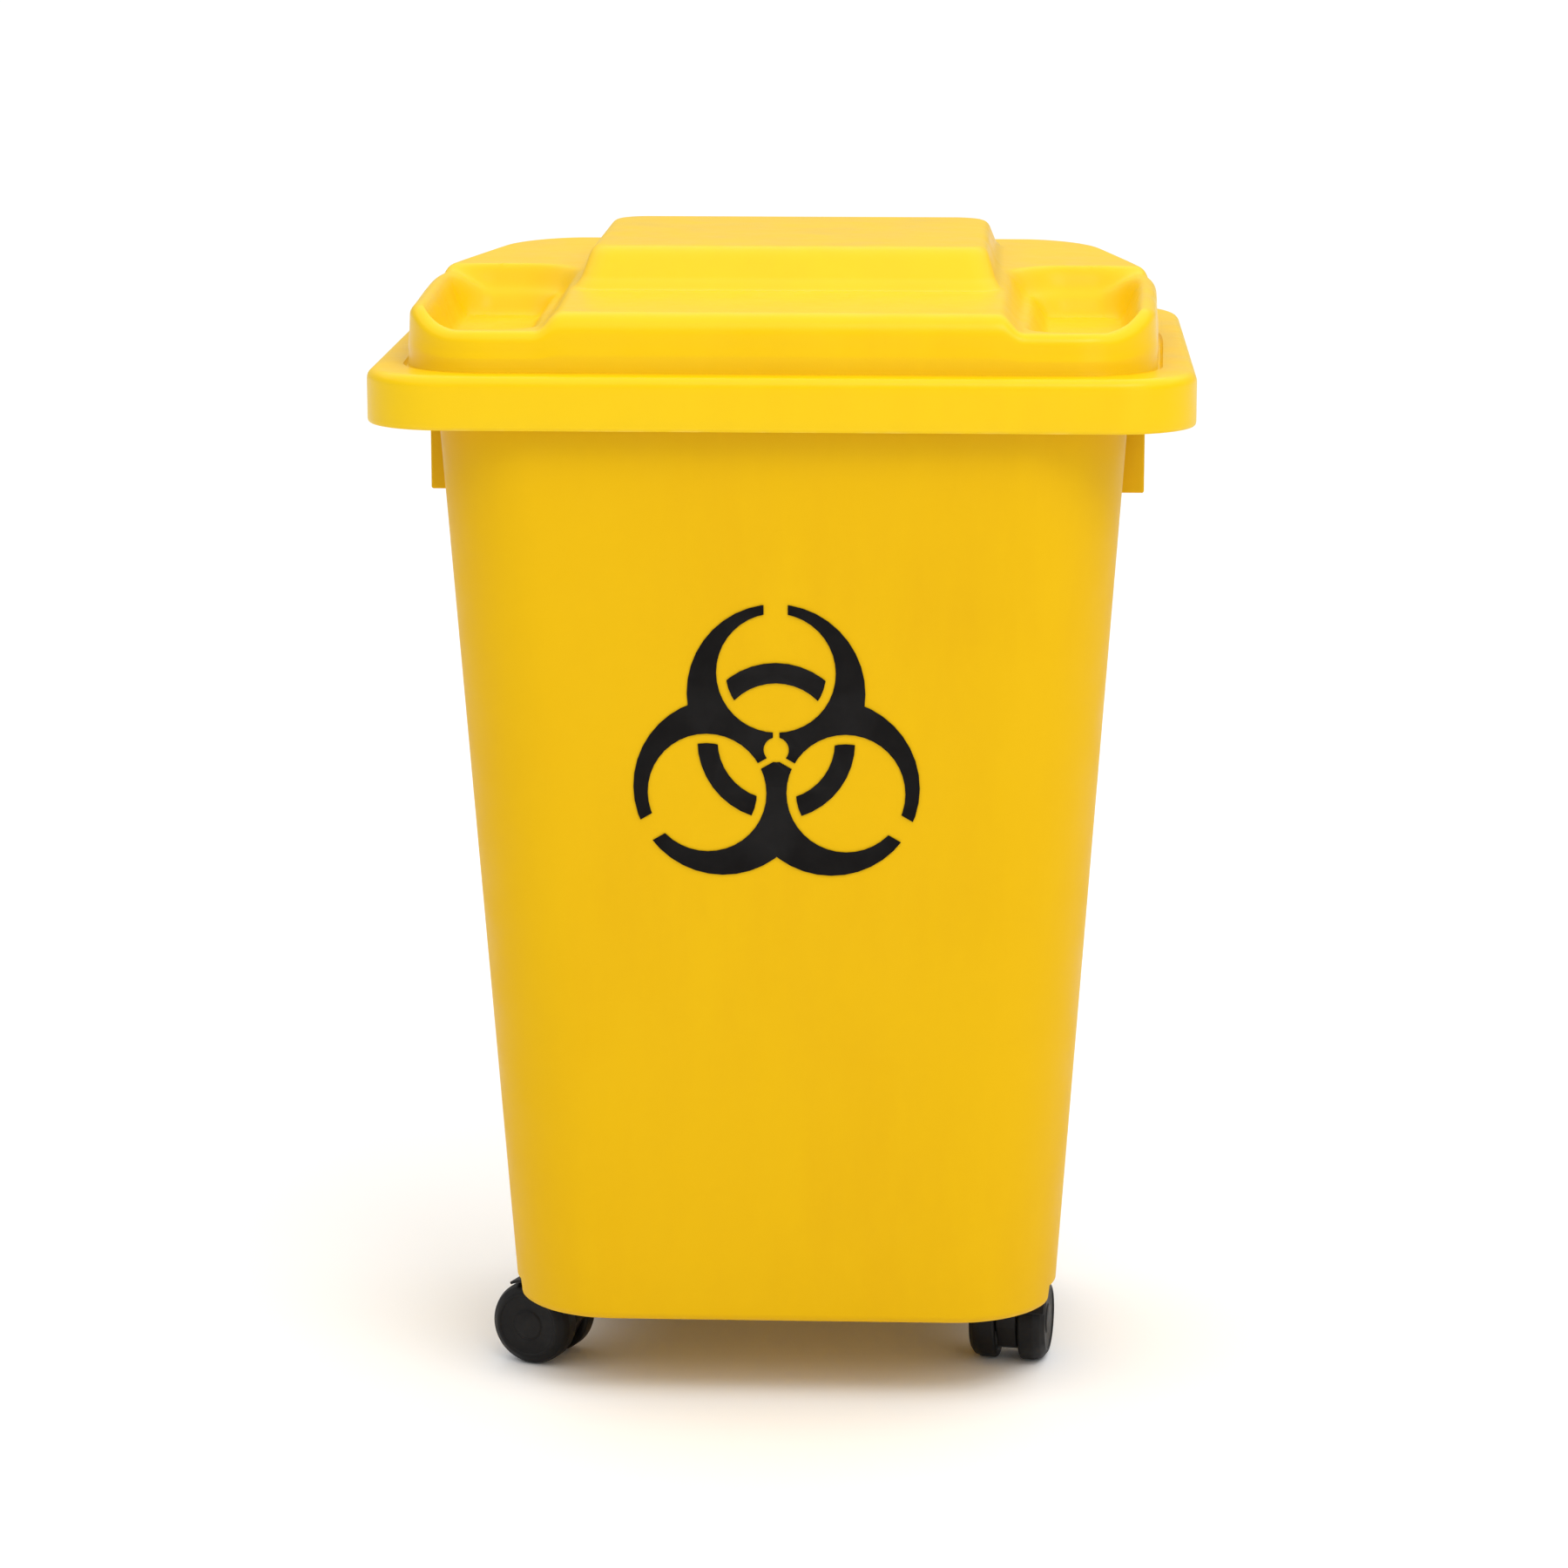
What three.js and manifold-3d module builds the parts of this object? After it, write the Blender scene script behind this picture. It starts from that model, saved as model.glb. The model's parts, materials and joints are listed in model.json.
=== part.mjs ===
// A 60 litre class waste bin: a tapered plastic tub, a lid hinged at the back, and four small
// twin-wheel swivel casters. Millimetres, +Z up, front face towards -Y, floor at z = 0.
import * as THREE from 'three';
import { mergeVertices } from 'three/addons/utils/BufferGeometryUtils.js';
import Module from 'manifold-3d';

const wasm = await Module();
wasm.setup();

// ---------------------------------------------------------------- driving dimensions
const GAP = 0.3; // clearance between touching pieces
const WALL = 3.5; // tub wall
const SHELL = 3; // lid wall
const CORNER_STEPS = 6; // facets in a quarter turn of an outline

// lid, from the skirt up
const SKIRT = { half: 230, front: -205, back: 178, frontRadius: 45, backRadius: 64 };
const SKIRT_BOTTOM = 577;
const SKIRT_TOP = 607;
const PLATFORM = { half: 208.5, front: -188, back: 171, frontRadius: 46, backRadius: 48 };
const FLARE = 0.0002; // share of its width the platform gains per mm behind its front corners
const TAPER_START = 15; // behind here it narrows instead
const TAPER = 0.0013; // share of its width lost per mm
const PLATFORM_TOP = 639.5; // at its front
const PLATFORM_DRAFT = 1; // each wall leans in by this much
const PLATFORM_RISE = 8.5; // the platform's top is this much higher at the back
const CROWN = { half: 120, front: -84, back: 139, frontRadius: 14, backRadius: 20 };
const CROWN_TOP = 664;
const CROWN_SIDE_LEAN = 7; // its sides lean in by this much, and its back by half as much again
const CROWN_FRONT_LEAN = 26;
const SIDE_RIM = 639.5; // rim of the low front corners along the lid's sides
const FRONT_RIM = 629; // and along its front
const SCOOP_FLOOR = 616;
const SCOOP_INNER = 138; // from the centre plane to the scoop's inner edge
const SCOOP_BACK = 20;
const RIM_WIDTH = 8.5;

// tub
const TUB_BOTTOM = 49;
const TUB_FLOOR = 53;
const TUB_TOP = 603.5;
const BASE = { half: 158.2, front: -147, back: 128, frontRadius: 60, backRadius: 60 };
const MOUTH = { half: 194.8, front: -194, back: 160, frontRadius: 58, backRadius: 76 };
const FLANGE = { half: 221, front: -199, back: 172, frontRadius: 40, backRadius: 58 };
const FLANGE_THICK = 3;
const FLANGE_LIP_BOTTOM = 582;
const GRIP_OUTER = 204; // outer face of the side grips, from the centre plane
const GRIP_THICK = 3;
const GRIP_BOTTOM = 527;
const GRIP_HALF_LENGTH = 85;
const FINGER_INNER = 180; // the wall behind a grip is set in to here
const FINGER_HALF_LENGTH = 72;
const FINGER_BOTTOM = 519;
const FINGER_TOP = 592;

// hinge
const PIVOT = { y: 193.5, z: 573 };
const KNUCKLE_RADIUS = 11.5;
const HINGE_X = 120; // centre of each hinge, from the centre plane
const LID_KNUCKLE_WIDTH = 26;
const TUB_KNUCKLE_WIDTH = 12;
const PIN_RADIUS = 3.5;
const LID_OPEN = 105; // degrees
const STOP_REACH = 18.6; // the lid's stop heel, from the pivot
const STOP_FACE = 173.5; // the tub's stop web, which the heel meets

// casters
const CASTER_X = 131;
const CASTER_FRONT_Y = -70;
const CASTER_BACK_Y = 51;
const WHEEL_RADIUS = 25;
const WHEEL_INNER = 6.8; // a wheel's two faces, from the caster's centre plane
const WHEEL_OUTER = 23;
const TRAIL = 16; // from the swivel axis to the axle
const HOOD_INNER_RADIUS = 26.3;
const HOOD_OUTER_RADIUS = 28;
const HOOD_FROM = 22; // the mudguard's arc, in degrees about the axle
const HOOD_TO = 114;
const HOOD_STEPS = 7;
const HOOD_WEB = 12;
const AXLE_RADIUS = 3;
const HOOD_TOP = 54.2;
const STEM_RADIUS = 4;
const SLEEVE_RADIUS = 7.7;
const POCKET_RADIUS = 46;
const POCKET_TOP = 62;
const BOSS_RADIUS = 11.5;
const BOSS_TOP = 92;
const BORE_TOP = 88.5;

// hazard trefoil on the front wall
const SYMBOL_X = -1.8;
const SYMBOL_Z = 390.8;
const SYMBOL_UNIT = 3.37; // the sign's proportions count in this unit
const SYMBOL_STRETCH = 1.034; // upwards
const FILM_THICK = 0.5;

// ---------------------------------------------------------------- materials
const finish = (color, roughness, metalness = 0) => () =>
  new THREE.MeshStandardMaterial({ color, roughness, metalness });
const yellowPlastic = finish(0xf2bf05, 0.42);
const lidPlastic = finish(0xf7ca0a, 0.38);
const blackNylon = finish(0x1a1a1c, 0.5);
const wheelPlastic = finish(0x151517, 0.6);
const steel = finish(0xb9bcc0, 0.32, 1);
const whiteNylon = finish(0xd9d6cc, 0.55);
const blackFilm = finish(0x0f0f10, 0.45);

// ---------------------------------------------------------------- solids
/** A closed three.js geometry as a solid. */
function solid(geometry) {
  const bare = geometry.clone();
  bare.deleteAttribute('normal');
  bare.deleteAttribute('uv');
  const merged = mergeVertices(bare, 1e-4);
  return new wasm.Manifold(new wasm.Mesh({
    numProp: 3,
    vertProperties: new Float32Array(merged.attributes.position.array),
    triVerts: new Uint32Array(merged.index.array),
  }));
}

/** A solid back as a three.js geometry. */
function surface(body) {
  const mesh = body.getMesh();
  const geometry = new THREE.BufferGeometry();
  geometry.setAttribute('position', new THREE.BufferAttribute(new Float32Array(mesh.vertProperties), 3));
  geometry.setIndex(new THREE.BufferAttribute(new Uint32Array(mesh.triVerts), 1));
  geometry.computeVertexNormals();
  return geometry;
}

const join = (first, ...others) => others.reduce((all, one) => all.add(one), first);
const cut = (first, ...others) => others.reduce((left, one) => left.subtract(one), first);

/**
 * A solid between stacked outlines, each a counter-clockwise list of points. An outline's z is
 * its height, or a function that gives the height of each of its points.
 */
function loft(layers) {
  const count = layers[0].points.length;
  const positions = layers.flatMap(({ z, points }) =>
    points.flatMap((p) => [p.x, p.y, typeof z === 'function' ? z(p) : z]));
  const indices = [];
  for (let layer = 0; layer + 1 < layers.length; layer++) {
    for (let i = 0; i < count; i++) {
      const a = layer * count + i;
      const b = layer * count + ((i + 1) % count);
      indices.push(a, b, b + count, a, b + count, a + count);
    }
  }
  const last = (layers.length - 1) * count;
  for (const [a, b, c] of THREE.ShapeUtils.triangulateShape(layers[0].points, [])) {
    indices.push(a, c, b);
  }
  for (const [a, b, c] of THREE.ShapeUtils.triangulateShape(layers.at(-1).points, [])) {
    indices.push(last + a, last + b, last + c);
  }
  const geometry = new THREE.BufferGeometry();
  geometry.setAttribute('position', new THREE.Float32BufferAttribute(positions, 3));
  geometry.setIndex(indices);
  return solid(geometry);
}

/** Points of a rectangle with rounded corners, counter-clockwise from the front right one. */
function outline({ half, left = -half, front, back, frontRadius, backRadius }) {
  const corners = [
    [half - frontRadius, front + frontRadius, frontRadius, -90],
    [half - backRadius, back - backRadius, backRadius, 0],
    [left + backRadius, back - backRadius, backRadius, 90],
    [left + frontRadius, front + frontRadius, frontRadius, 180],
  ];
  return corners.flatMap(([x, y, radius, start]) =>
    Array.from({ length: CORNER_STEPS + 1 }, (_, i) => {
      const angle = THREE.MathUtils.degToRad(start + (90 * i) / CORNER_STEPS);
      return new THREE.Vector2(x + radius * Math.cos(angle), y + radius * Math.sin(angle));
    }));
}

/** The same outline set in by some distance on every side. */
const inset = (shape, by) => ({
  half: shape.half - by,
  front: shape.front + by,
  back: shape.back - by,
  frontRadius: Math.max(shape.frontRadius - by, 2),
  backRadius: Math.max(shape.backRadius - by, 2),
});

/** The outline part of the way from one shape to another. */
function between(from, to, share) {
  const mixed = {};
  for (const key of Object.keys(from)) {
    mixed[key] = THREE.MathUtils.lerp(from[key], to[key], share);
  }
  return mixed;
}

const mirrored = (points) => points.map((p) => new THREE.Vector2(-p.x, p.y)).reverse();

/** An outline in Y and Z, extruded along X. */
function prismX(points, x0, x1) {
  const shape = new THREE.Shape(points.map(([y, z]) => new THREE.Vector2(y, z)));
  const geometry = new THREE.ExtrudeGeometry(shape, { depth: x1 - x0, bevelEnabled: false });
  const turn = new THREE.Matrix4().makeBasis(
    new THREE.Vector3(0, 1, 0), new THREE.Vector3(0, 0, 1), new THREE.Vector3(1, 0, 0));
  return geometry.applyMatrix4(turn).translate(x0, 0, 0);
}

function cylinderX(radius, x0, x1, y, z, segments = 24) {
  const geometry = new THREE.CylinderGeometry(radius, radius, x1 - x0, segments);
  return geometry.rotateZ(-Math.PI / 2).translate((x0 + x1) / 2, y, z);
}

function cylinderZ(radius, z0, z1, x, y, segments = 24) {
  const geometry = new THREE.CylinderGeometry(radius, radius, z1 - z0, segments);
  return geometry.rotateX(Math.PI / 2).translate(x, y, (z0 + z1) / 2);
}

function block(x0, x1, y0, y1, z0, z1) {
  const geometry = new THREE.BoxGeometry(x1 - x0, y1 - y0, z1 - z0);
  return geometry.translate((x0 + x1) / 2, (y0 + y1) / 2, (z0 + z1) / 2);
}

/** A turned piece about the Z axis from [radius, z] points, closed by its last point. */
function turned(profile, segments = 20) {
  const points = profile.map(([radius, z]) => new THREE.Vector2(radius, z));
  const geometry = new THREE.LatheGeometry([...points, points[0].clone()], segments);
  return solid(geometry.rotateX(Math.PI / 2));
}

const SIDES = [['left', -1], ['right', 1]];
const CASTERS = [
  { name: 'front_left', x: -CASTER_X, y: CASTER_FRONT_Y, heading: -22 },
  { name: 'front_right', x: CASTER_X, y: CASTER_FRONT_Y, heading: -99 },
  { name: 'rear_left', x: -CASTER_X, y: CASTER_BACK_Y, heading: 152 },
  { name: 'rear_right', x: CASTER_X, y: CASTER_BACK_Y, heading: 24 },
];

// ---------------------------------------------------------------- tub
const tubOutline = (z) => between(BASE, MOUTH, (z - TUB_BOTTOM) / (TUB_TOP - TUB_BOTTOM));

/** The finger space behind a side grip, or with grown above 0 the block that carries its wall. */
function fingerSpace(side, grown) {
  const inner = FINGER_INNER - grown;
  const outer = GRIP_OUTER - GRIP_THICK;
  const xs = side < 0 ? [-outer, -inner] : [inner, outer];
  const reach = FINGER_HALF_LENGTH + grown;
  return solid(block(...xs, -reach, reach, FINGER_BOTTOM - grown, FINGER_TOP + grown / 2));
}

/** Two knuckles and the stop web between them, reaching back from the tub's rear wall. */
function hingeBracket(centre) {
  const inner = LID_KNUCKLE_WIDTH / 2 + 1;
  const outer = inner + TUB_KNUCKLE_WIDTH;
  const root = MOUTH.back - 8;
  const arm = [
    [root, PIVOT.z - 40], [PIVOT.y, PIVOT.z - KNUCKLE_RADIUS], [PIVOT.y, PIVOT.z], [root, PIVOT.z],
  ];
  const parts = [[-outer, -inner], [inner, outer]].flatMap(([a, b]) => [
    solid(prismX(arm, centre + a, centre + b)),
    solid(cylinderX(KNUCKLE_RADIUS, centre + a, centre + b, PIVOT.y, PIVOT.z)),
  ]);
  const web = solid(block(centre - outer, centre + outer, root, STOP_FACE, PIVOT.z - 14, PIVOT.z));
  return join(web, ...parts);
}

function makeTub() {
  const foot = tubOutline(TUB_BOTTOM);
  let outside = loft([
    { z: TUB_BOTTOM, points: outline(inset(foot, 4)) },
    { z: TUB_BOTTOM + 1.2, points: outline(inset(foot, 1.2)) },
    { z: TUB_BOTTOM + 4, points: outline(tubOutline(TUB_BOTTOM + 4)) },
    { z: TUB_TOP, points: outline(MOUTH) },
  ]);
  const flange = loft([
    { z: FLANGE_LIP_BOTTOM, points: outline(FLANGE) },
    { z: TUB_TOP - 2, points: outline(FLANGE) },
    { z: TUB_TOP, points: outline(inset(FLANGE, 2)) },
  ]);
  const underFlange = loft([
    { z: FLANGE_LIP_BOTTOM - 1, points: outline(inset(FLANGE, FLANGE_THICK)) },
    { z: TUB_TOP - FLANGE_THICK, points: outline(inset(FLANGE, FLANGE_THICK)) },
  ]);
  const grips = SIDES.map(([, side]) => {
    const xs = side < 0 ? [-GRIP_OUTER, -FINGER_INNER - 2] : [FINGER_INNER + 2, GRIP_OUTER];
    return solid(block(...xs, -GRIP_HALF_LENGTH, GRIP_HALF_LENGTH, GRIP_BOTTOM, TUB_TOP - 1));
  });
  outside = join(cut(flange, underFlange), outside, ...grips);
  outside = join(outside, hingeBracket(-HINGE_X), hingeBracket(HINGE_X));

  let hollow = loft([
    { z: TUB_FLOOR, points: outline(inset(tubOutline(TUB_FLOOR), WALL + 4)) },
    { z: TUB_FLOOR + 4, points: outline(inset(tubOutline(TUB_FLOOR + 4), WALL)) },
    { z: TUB_TOP + 1, points: outline(inset(tubOutline(TUB_TOP + 1), WALL)) },
  ]);
  const domes = CASTERS.map(({ x, y }) => join(
    solid(cylinderZ(POCKET_RADIUS + WALL, TUB_BOTTOM - 1, POCKET_TOP + WALL, x, y, 32)),
    solid(cylinderZ(BOSS_RADIUS, TUB_BOTTOM - 1, BOSS_TOP, x, y, 20))));
  hollow = cut(hollow, ...domes, ...SIDES.map(([, side]) => fingerSpace(side, WALL)));

  const pockets = CASTERS.map(({ x, y }) => join(
    solid(cylinderZ(POCKET_RADIUS, TUB_BOTTOM - 10, POCKET_TOP, x, y, 32)),
    solid(cylinderZ(SLEEVE_RADIUS + GAP, POCKET_TOP - 1, BORE_TOP, x, y, 20))));
  const fingers = SIDES.map(([, side]) => fingerSpace(side, 0));
  const pinBore = PIN_RADIUS + GAP;
  const bores = [-HINGE_X, HINGE_X].map((x) =>
    solid(cylinderX(pinBore, x - 40, x + 40, PIVOT.y, PIVOT.z, 16)));
  return cut(outside, hollow, ...pockets, ...fingers, ...bores);
}

// ---------------------------------------------------------------- lid
/** The platform's outline at a height, set in by some distance: widest at the bend in its sides. */
function platformOutline(z, by = 0) {
  const draft = (PLATFORM_DRAFT * Math.max(z - SKIRT_TOP, 0)) / (PLATFORM_TOP - SKIRT_TOP);
  const shape = inset(PLATFORM, draft + by);
  const points = outline(shape);
  const bend = (x) => new THREE.Vector2(x, TAPER_START);
  const corner = CORNER_STEPS + 1;
  const flareStart = PLATFORM.front + PLATFORM.frontRadius;
  const width = (y) => 1 + FLARE * Math.max(y - flareStart, 0)
    - (FLARE + TAPER) * Math.max(y - TAPER_START, 0);
  return [
    ...points.slice(0, corner), bend(shape.half), ...points.slice(corner, 3 * corner),
    bend(-shape.half), ...points.slice(3 * corner),
  ].map(({ x, y }) => new THREE.Vector2(x * width(y), y));
}

/** The platform's height at a point, which rises evenly from its front to its back. */
const platformHeight = (above) => ({ y }) =>
  PLATFORM_TOP + above + (PLATFORM_RISE * (y - PLATFORM.front)) / (PLATFORM.back - PLATFORM.front);

/** The low front corner and the scoop in it, grown outwards for the inner face of the shell. */
function cornerScoop(side, grown) {
  const aside = (shape) => (side > 0 ? outline(shape) : mirrored(outline(shape)));
  const outer = PLATFORM.half - RIM_WIDTH;
  const step = (z, half, back, inner, radius) => ({
    z: z - grown,
    points: aside({
      left: inner - grown, half: half + grown, front: SKIRT.front - 40, back: back + grown,
      frontRadius: 1, backRadius: radius,
    }),
  });
  const aboveSide = loft([
    step(SIDE_RIM, SKIRT.half + 40, SCOOP_BACK + 9, SCOOP_INNER - 9, 30),
    step(PLATFORM_TOP + 30, SKIRT.half + 40, SCOOP_BACK + 22, SCOOP_INNER - 18, 34),
  ]);
  const aboveFront = loft([
    step(FRONT_RIM, outer - 16, SCOOP_BACK + 1, SCOOP_INNER - 4, 22),
    step(SIDE_RIM + 1, outer + 2, SCOOP_BACK + 9, SCOOP_INNER - 9, 30),
  ]);
  const dish = (z, by, radius) => ({
    z: z - grown,
    points: aside({
      left: SCOOP_INNER + by - grown,
      half: outer - 2 - by + grown,
      front: PLATFORM.front + RIM_WIDTH + 2 + by - grown,
      back: SCOOP_BACK - by + grown,
      frontRadius: radius,
      backRadius: radius,
    }),
  });
  return join(aboveSide, aboveFront, loft([
    dish(SCOOP_FLOOR, 9, 14), dish(SCOOP_FLOOR + 4, 4, 19), dish(FRONT_RIM + grown + 1, 0, 23),
  ]));
}

function crown(by) {
  const base = inset(CROWN, by);
  const top = {
    half: base.half - CROWN_SIDE_LEAN,
    front: base.front + CROWN_FRONT_LEAN,
    back: base.back - 1.5 * CROWN_SIDE_LEAN,
    frontRadius: base.frontRadius,
    backRadius: base.backRadius,
  };
  return loft([
    { z: PLATFORM_TOP - 8, points: outline(base) },
    { z: platformHeight(-by), points: outline(base) },
    { z: CROWN_TOP - 2 - by, points: outline(top) },
    { z: CROWN_TOP - by, points: outline(inset(top, 3)) },
  ]);
}

/** The lid's half of a hinge: a knuckle, the arm that carries it, and a heel that stops the lid. */
function lidHinge(centre) {
  const x0 = centre - LID_KNUCKLE_WIDTH / 2;
  const x1 = centre + LID_KNUCKLE_WIDTH / 2;
  const arm = [
    [SKIRT.back - 1.5, SKIRT_BOTTOM + 1], [PIVOT.y, PIVOT.z - 2],
    [PIVOT.y + KNUCKLE_RADIUS - 0.6, PIVOT.z + 2],
    [SKIRT.back + 10, SKIRT_TOP - 10], [SKIRT.back - 1.5, SKIRT_TOP - 8],
  ];
  const heelAngle = THREE.MathUtils.degToRad(LID_OPEN);
  const along = new THREE.Vector2(-Math.cos(heelAngle), -Math.sin(heelAngle));
  const across = new THREE.Vector2(-along.y, along.x);
  const at = (reach, width) => [
    PIVOT.y + along.x * reach + across.x * width, PIVOT.z + along.y * reach + across.y * width];
  const heel = [at(4, -4.5), at(STOP_REACH, -4.5), at(STOP_REACH, 4.5), at(4, 4.5)];
  return join(
    solid(prismX(arm, x0, x1)),
    solid(cylinderX(KNUCKLE_RADIUS, x0, x1, PIVOT.y, PIVOT.z)),
    solid(prismX(heel, x0 + 3, x1 - 3)));
}

function makeLid() {
  const outside = join(
    loft([
      { z: SKIRT_BOTTOM, points: outline(inset(SKIRT, 0.6)) },
      { z: SKIRT_BOTTOM + 3, points: outline(SKIRT) },
      { z: SKIRT_TOP - 6, points: outline(SKIRT) },
      { z: SKIRT_TOP - 2, points: outline(inset(SKIRT, 1.6)) },
      { z: SKIRT_TOP, points: outline(inset(SKIRT, 5.5)) },
    ]),
    loft([
      { z: SKIRT_TOP - 5, points: platformOutline(SKIRT_TOP) },
      { z: platformHeight(-10), points: platformOutline(PLATFORM_TOP - 10) },
      { z: platformHeight(-5.5), points: platformOutline(PLATFORM_TOP, 0.8) },
      { z: platformHeight(-1.6), points: platformOutline(PLATFORM_TOP, 4) },
      { z: platformHeight(0), points: platformOutline(PLATFORM_TOP, 10) },
    ]),
    crown(0));
  const inside = join(
    loft([
      { z: SKIRT_BOTTOM - 1, points: outline(inset(SKIRT, SHELL)) },
      { z: SKIRT_TOP - SHELL - 2, points: outline(inset(SKIRT, SHELL + 0.5)) },
      { z: SKIRT_TOP - SHELL, points: outline(inset(SKIRT, SHELL + 4)) },
    ]),
    loft([
      { z: SKIRT_TOP - SHELL - 1, points: platformOutline(SKIRT_TOP, SHELL) },
      { z: platformHeight(-SHELL - 9), points: platformOutline(PLATFORM_TOP - 10, SHELL) },
      { z: platformHeight(-SHELL - 3), points: platformOutline(PLATFORM_TOP, SHELL + 2) },
      { z: platformHeight(-SHELL), points: platformOutline(PLATFORM_TOP, SHELL + 8) },
    ]),
    crown(SHELL));
  const scoops = SIDES.map(([, side]) => cornerScoop(side, 0));
  const linings = SIDES.map(([, side]) => cornerScoop(side, SHELL));
  const shell = cut(outside, cut(inside, ...linings), ...scoops);
  const hinges = [-HINGE_X, HINGE_X].map(lidHinge);
  const bores = [-HINGE_X, HINGE_X].map((x) =>
    solid(cylinderX(PIN_RADIUS + GAP, x - 40, x + 40, PIVOT.y, PIVOT.z, 16)));
  return cut(join(shell, ...hinges), ...bores);
}

// ---------------------------------------------------------------- hinge pins
const PIN_INNER_END = 30; // from the hinge's centre, towards the middle of the bin
const PIN_HEAD_START = 26.6;

/** A headed pin along +X, with its middle at the hinge's centre. */
function makePin() {
  return join(
    solid(cylinderX(PIN_RADIUS, -PIN_INNER_END, PIN_HEAD_START + 2, 0, 0, 20)),
    solid(cylinderX(6, PIN_HEAD_START, PIN_HEAD_START + 3, 0, 0, 20)));
}

function makePinCap() {
  return cut(
    solid(cylinderX(6, -PIN_INNER_END - 2, -26.6, 0, 0, 20)),
    solid(cylinderX(PIN_RADIUS + GAP, -PIN_INNER_END - GAP, -20, 0, 0, 16)));
}

// ---------------------------------------------------------------- casters
// A caster stands on its swivel axis, with its wheels trailing towards -X.
function makeSleeve() {
  const bore = STEM_RADIUS + GAP;
  return turned([
    [bore, POCKET_TOP - 1.7], [11, POCKET_TOP - 1.7], [11, POCKET_TOP - GAP],
    [SLEEVE_RADIUS, POCKET_TOP - GAP], [SLEEVE_RADIUS, BORE_TOP - 0.5], [bore, BORE_TOP - 0.5],
  ]);
}

function makeStem() {
  const collar = HOOD_TOP + GAP;
  return turned([
    [0, 31], [STEM_RADIUS - 0.6, 31], [STEM_RADIUS, 32], [STEM_RADIUS, collar], [8, collar],
    [8, collar + 2.6], [STEM_RADIUS, collar + 2.6], [STEM_RADIUS, 77], [3.2, 77.6], [3.2, 80],
    [STEM_RADIUS, 80.6], [STEM_RADIUS, 83], [2.8, 84.5], [0, 84.5],
  ], 16);
}

/** The hood: a web between the wheels, a mudguard over them and a disc for the stem. */
function makeHood() {
  const at = (x, z) => new THREE.Vector2(-TRAIL + x, WHEEL_RADIUS + z);
  const arc = (radius, from, to) => Array.from({ length: HOOD_STEPS + 1 }, (_, i) => {
    const angle = THREE.MathUtils.degToRad(from + ((to - from) * i) / HOOD_STEPS);
    return at(radius * Math.cos(angle), radius * Math.sin(angle));
  });
  const plate = (points, width) => {
    const shape = new THREE.Shape(points);
    const geometry = new THREE.ExtrudeGeometry(shape, { depth: width, bevelEnabled: false });
    return solid(geometry.rotateX(Math.PI / 2).translate(0, width / 2, 0));
  };
  const guard = [
    ...arc(HOOD_OUTER_RADIUS, HOOD_FROM, HOOD_TO), ...arc(HOOD_INNER_RADIUS, HOOD_TO, HOOD_FROM),
  ];
  const web = [
    ...arc(HOOD_OUTER_RADIUS - 0.5, HOOD_FROM, HOOD_TO),
    at(-21, 4), at(-17, -13), at(0, -20), at(16, -14), at(24, 0),
  ];
  const body = join(
    plate(guard, 2 * WHEEL_OUTER),
    plate(web, HOOD_WEB),
    solid(cylinderZ(13, WHEEL_RADIUS + 25.5, HOOD_TOP, 0, 0)));
  const axleBore = new THREE.CylinderGeometry(AXLE_RADIUS + GAP, AXLE_RADIUS + GAP, 40, 16);
  const stemBore = solid(cylinderZ(STEM_RADIUS + GAP, 30, 70, 0, 0, 20));
  return cut(body, solid(axleBore.translate(-TRAIL, 0, WHEEL_RADIUS)), stemBore);
}

/** One wheel about the axle, with its outer face towards +Y. */
function makeWheel() {
  const bore = AXLE_RADIUS + GAP;
  const wheel = turned([
    [bore, WHEEL_INNER], [WHEEL_RADIUS - 1, WHEEL_INNER], [WHEEL_RADIUS, WHEEL_INNER + 1.2],
    [WHEEL_RADIUS, WHEEL_OUTER - 7], [WHEEL_RADIUS - 1.6, WHEEL_OUTER - 3],
    [WHEEL_RADIUS - 6, WHEEL_OUTER], [0, WHEEL_OUTER], [0, 16.5], [bore, 16.5],
  ], 20);
  return wheel.rotate([-90, 0, 0]);
}

const makeAxle = () => solid(new THREE.CylinderGeometry(AXLE_RADIUS, AXLE_RADIUS, 32, 16));

// ---------------------------------------------------------------- hazard trefoil
// Proportions in units: three outer circles whose centres stand 10.45 from the middle, three
// inner circles that stand further out and a little higher, and a ring about a point above the
// middle, which shows only inside the inner circles.
const OUTER_CIRCLE = { radius: 14.8, reach: 10.45, rise: 0 };
const INNER_CIRCLE = { radius: 9.9, reach: 13.35, rise: 0.5 };
const RING = { inner: 9.75, outer: 13.1, rise: 2.45 };
const HOLE = { radius: 2.1, rise: 1.1 };
const SLIT = 1.1; // between two arms near the middle
const TIP_GAP = 4; // between two horns' tips
const ARC_GAP = 1.6; // between a stretch of the ring and the arms
const POINTS_PER_TURN = 40;
const disc = (radius, x, y) =>
  solid(cylinderZ(radius * SYMBOL_UNIT, 0, FILM_THICK, x * SYMBOL_UNIT, y * SYMBOL_UNIT, POINTS_PER_TURN));
const polar = (radius, degrees) => {
  const angle = THREE.MathUtils.degToRad(degrees);
  return [radius * Math.cos(angle), radius * Math.sin(angle)];
};

/** A bar from the middle outwards, to cut slits and gaps. */
function bar(width, from, to, degrees) {
  const u = SYMBOL_UNIT;
  const geometry = block(from * u, to * u, (-width * u) / 2, (width * u) / 2, -1, FILM_THICK + 1);
  return solid(geometry.rotateZ(THREE.MathUtils.degToRad(degrees)));
}

const LOBES = [90, 210, 330];

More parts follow.
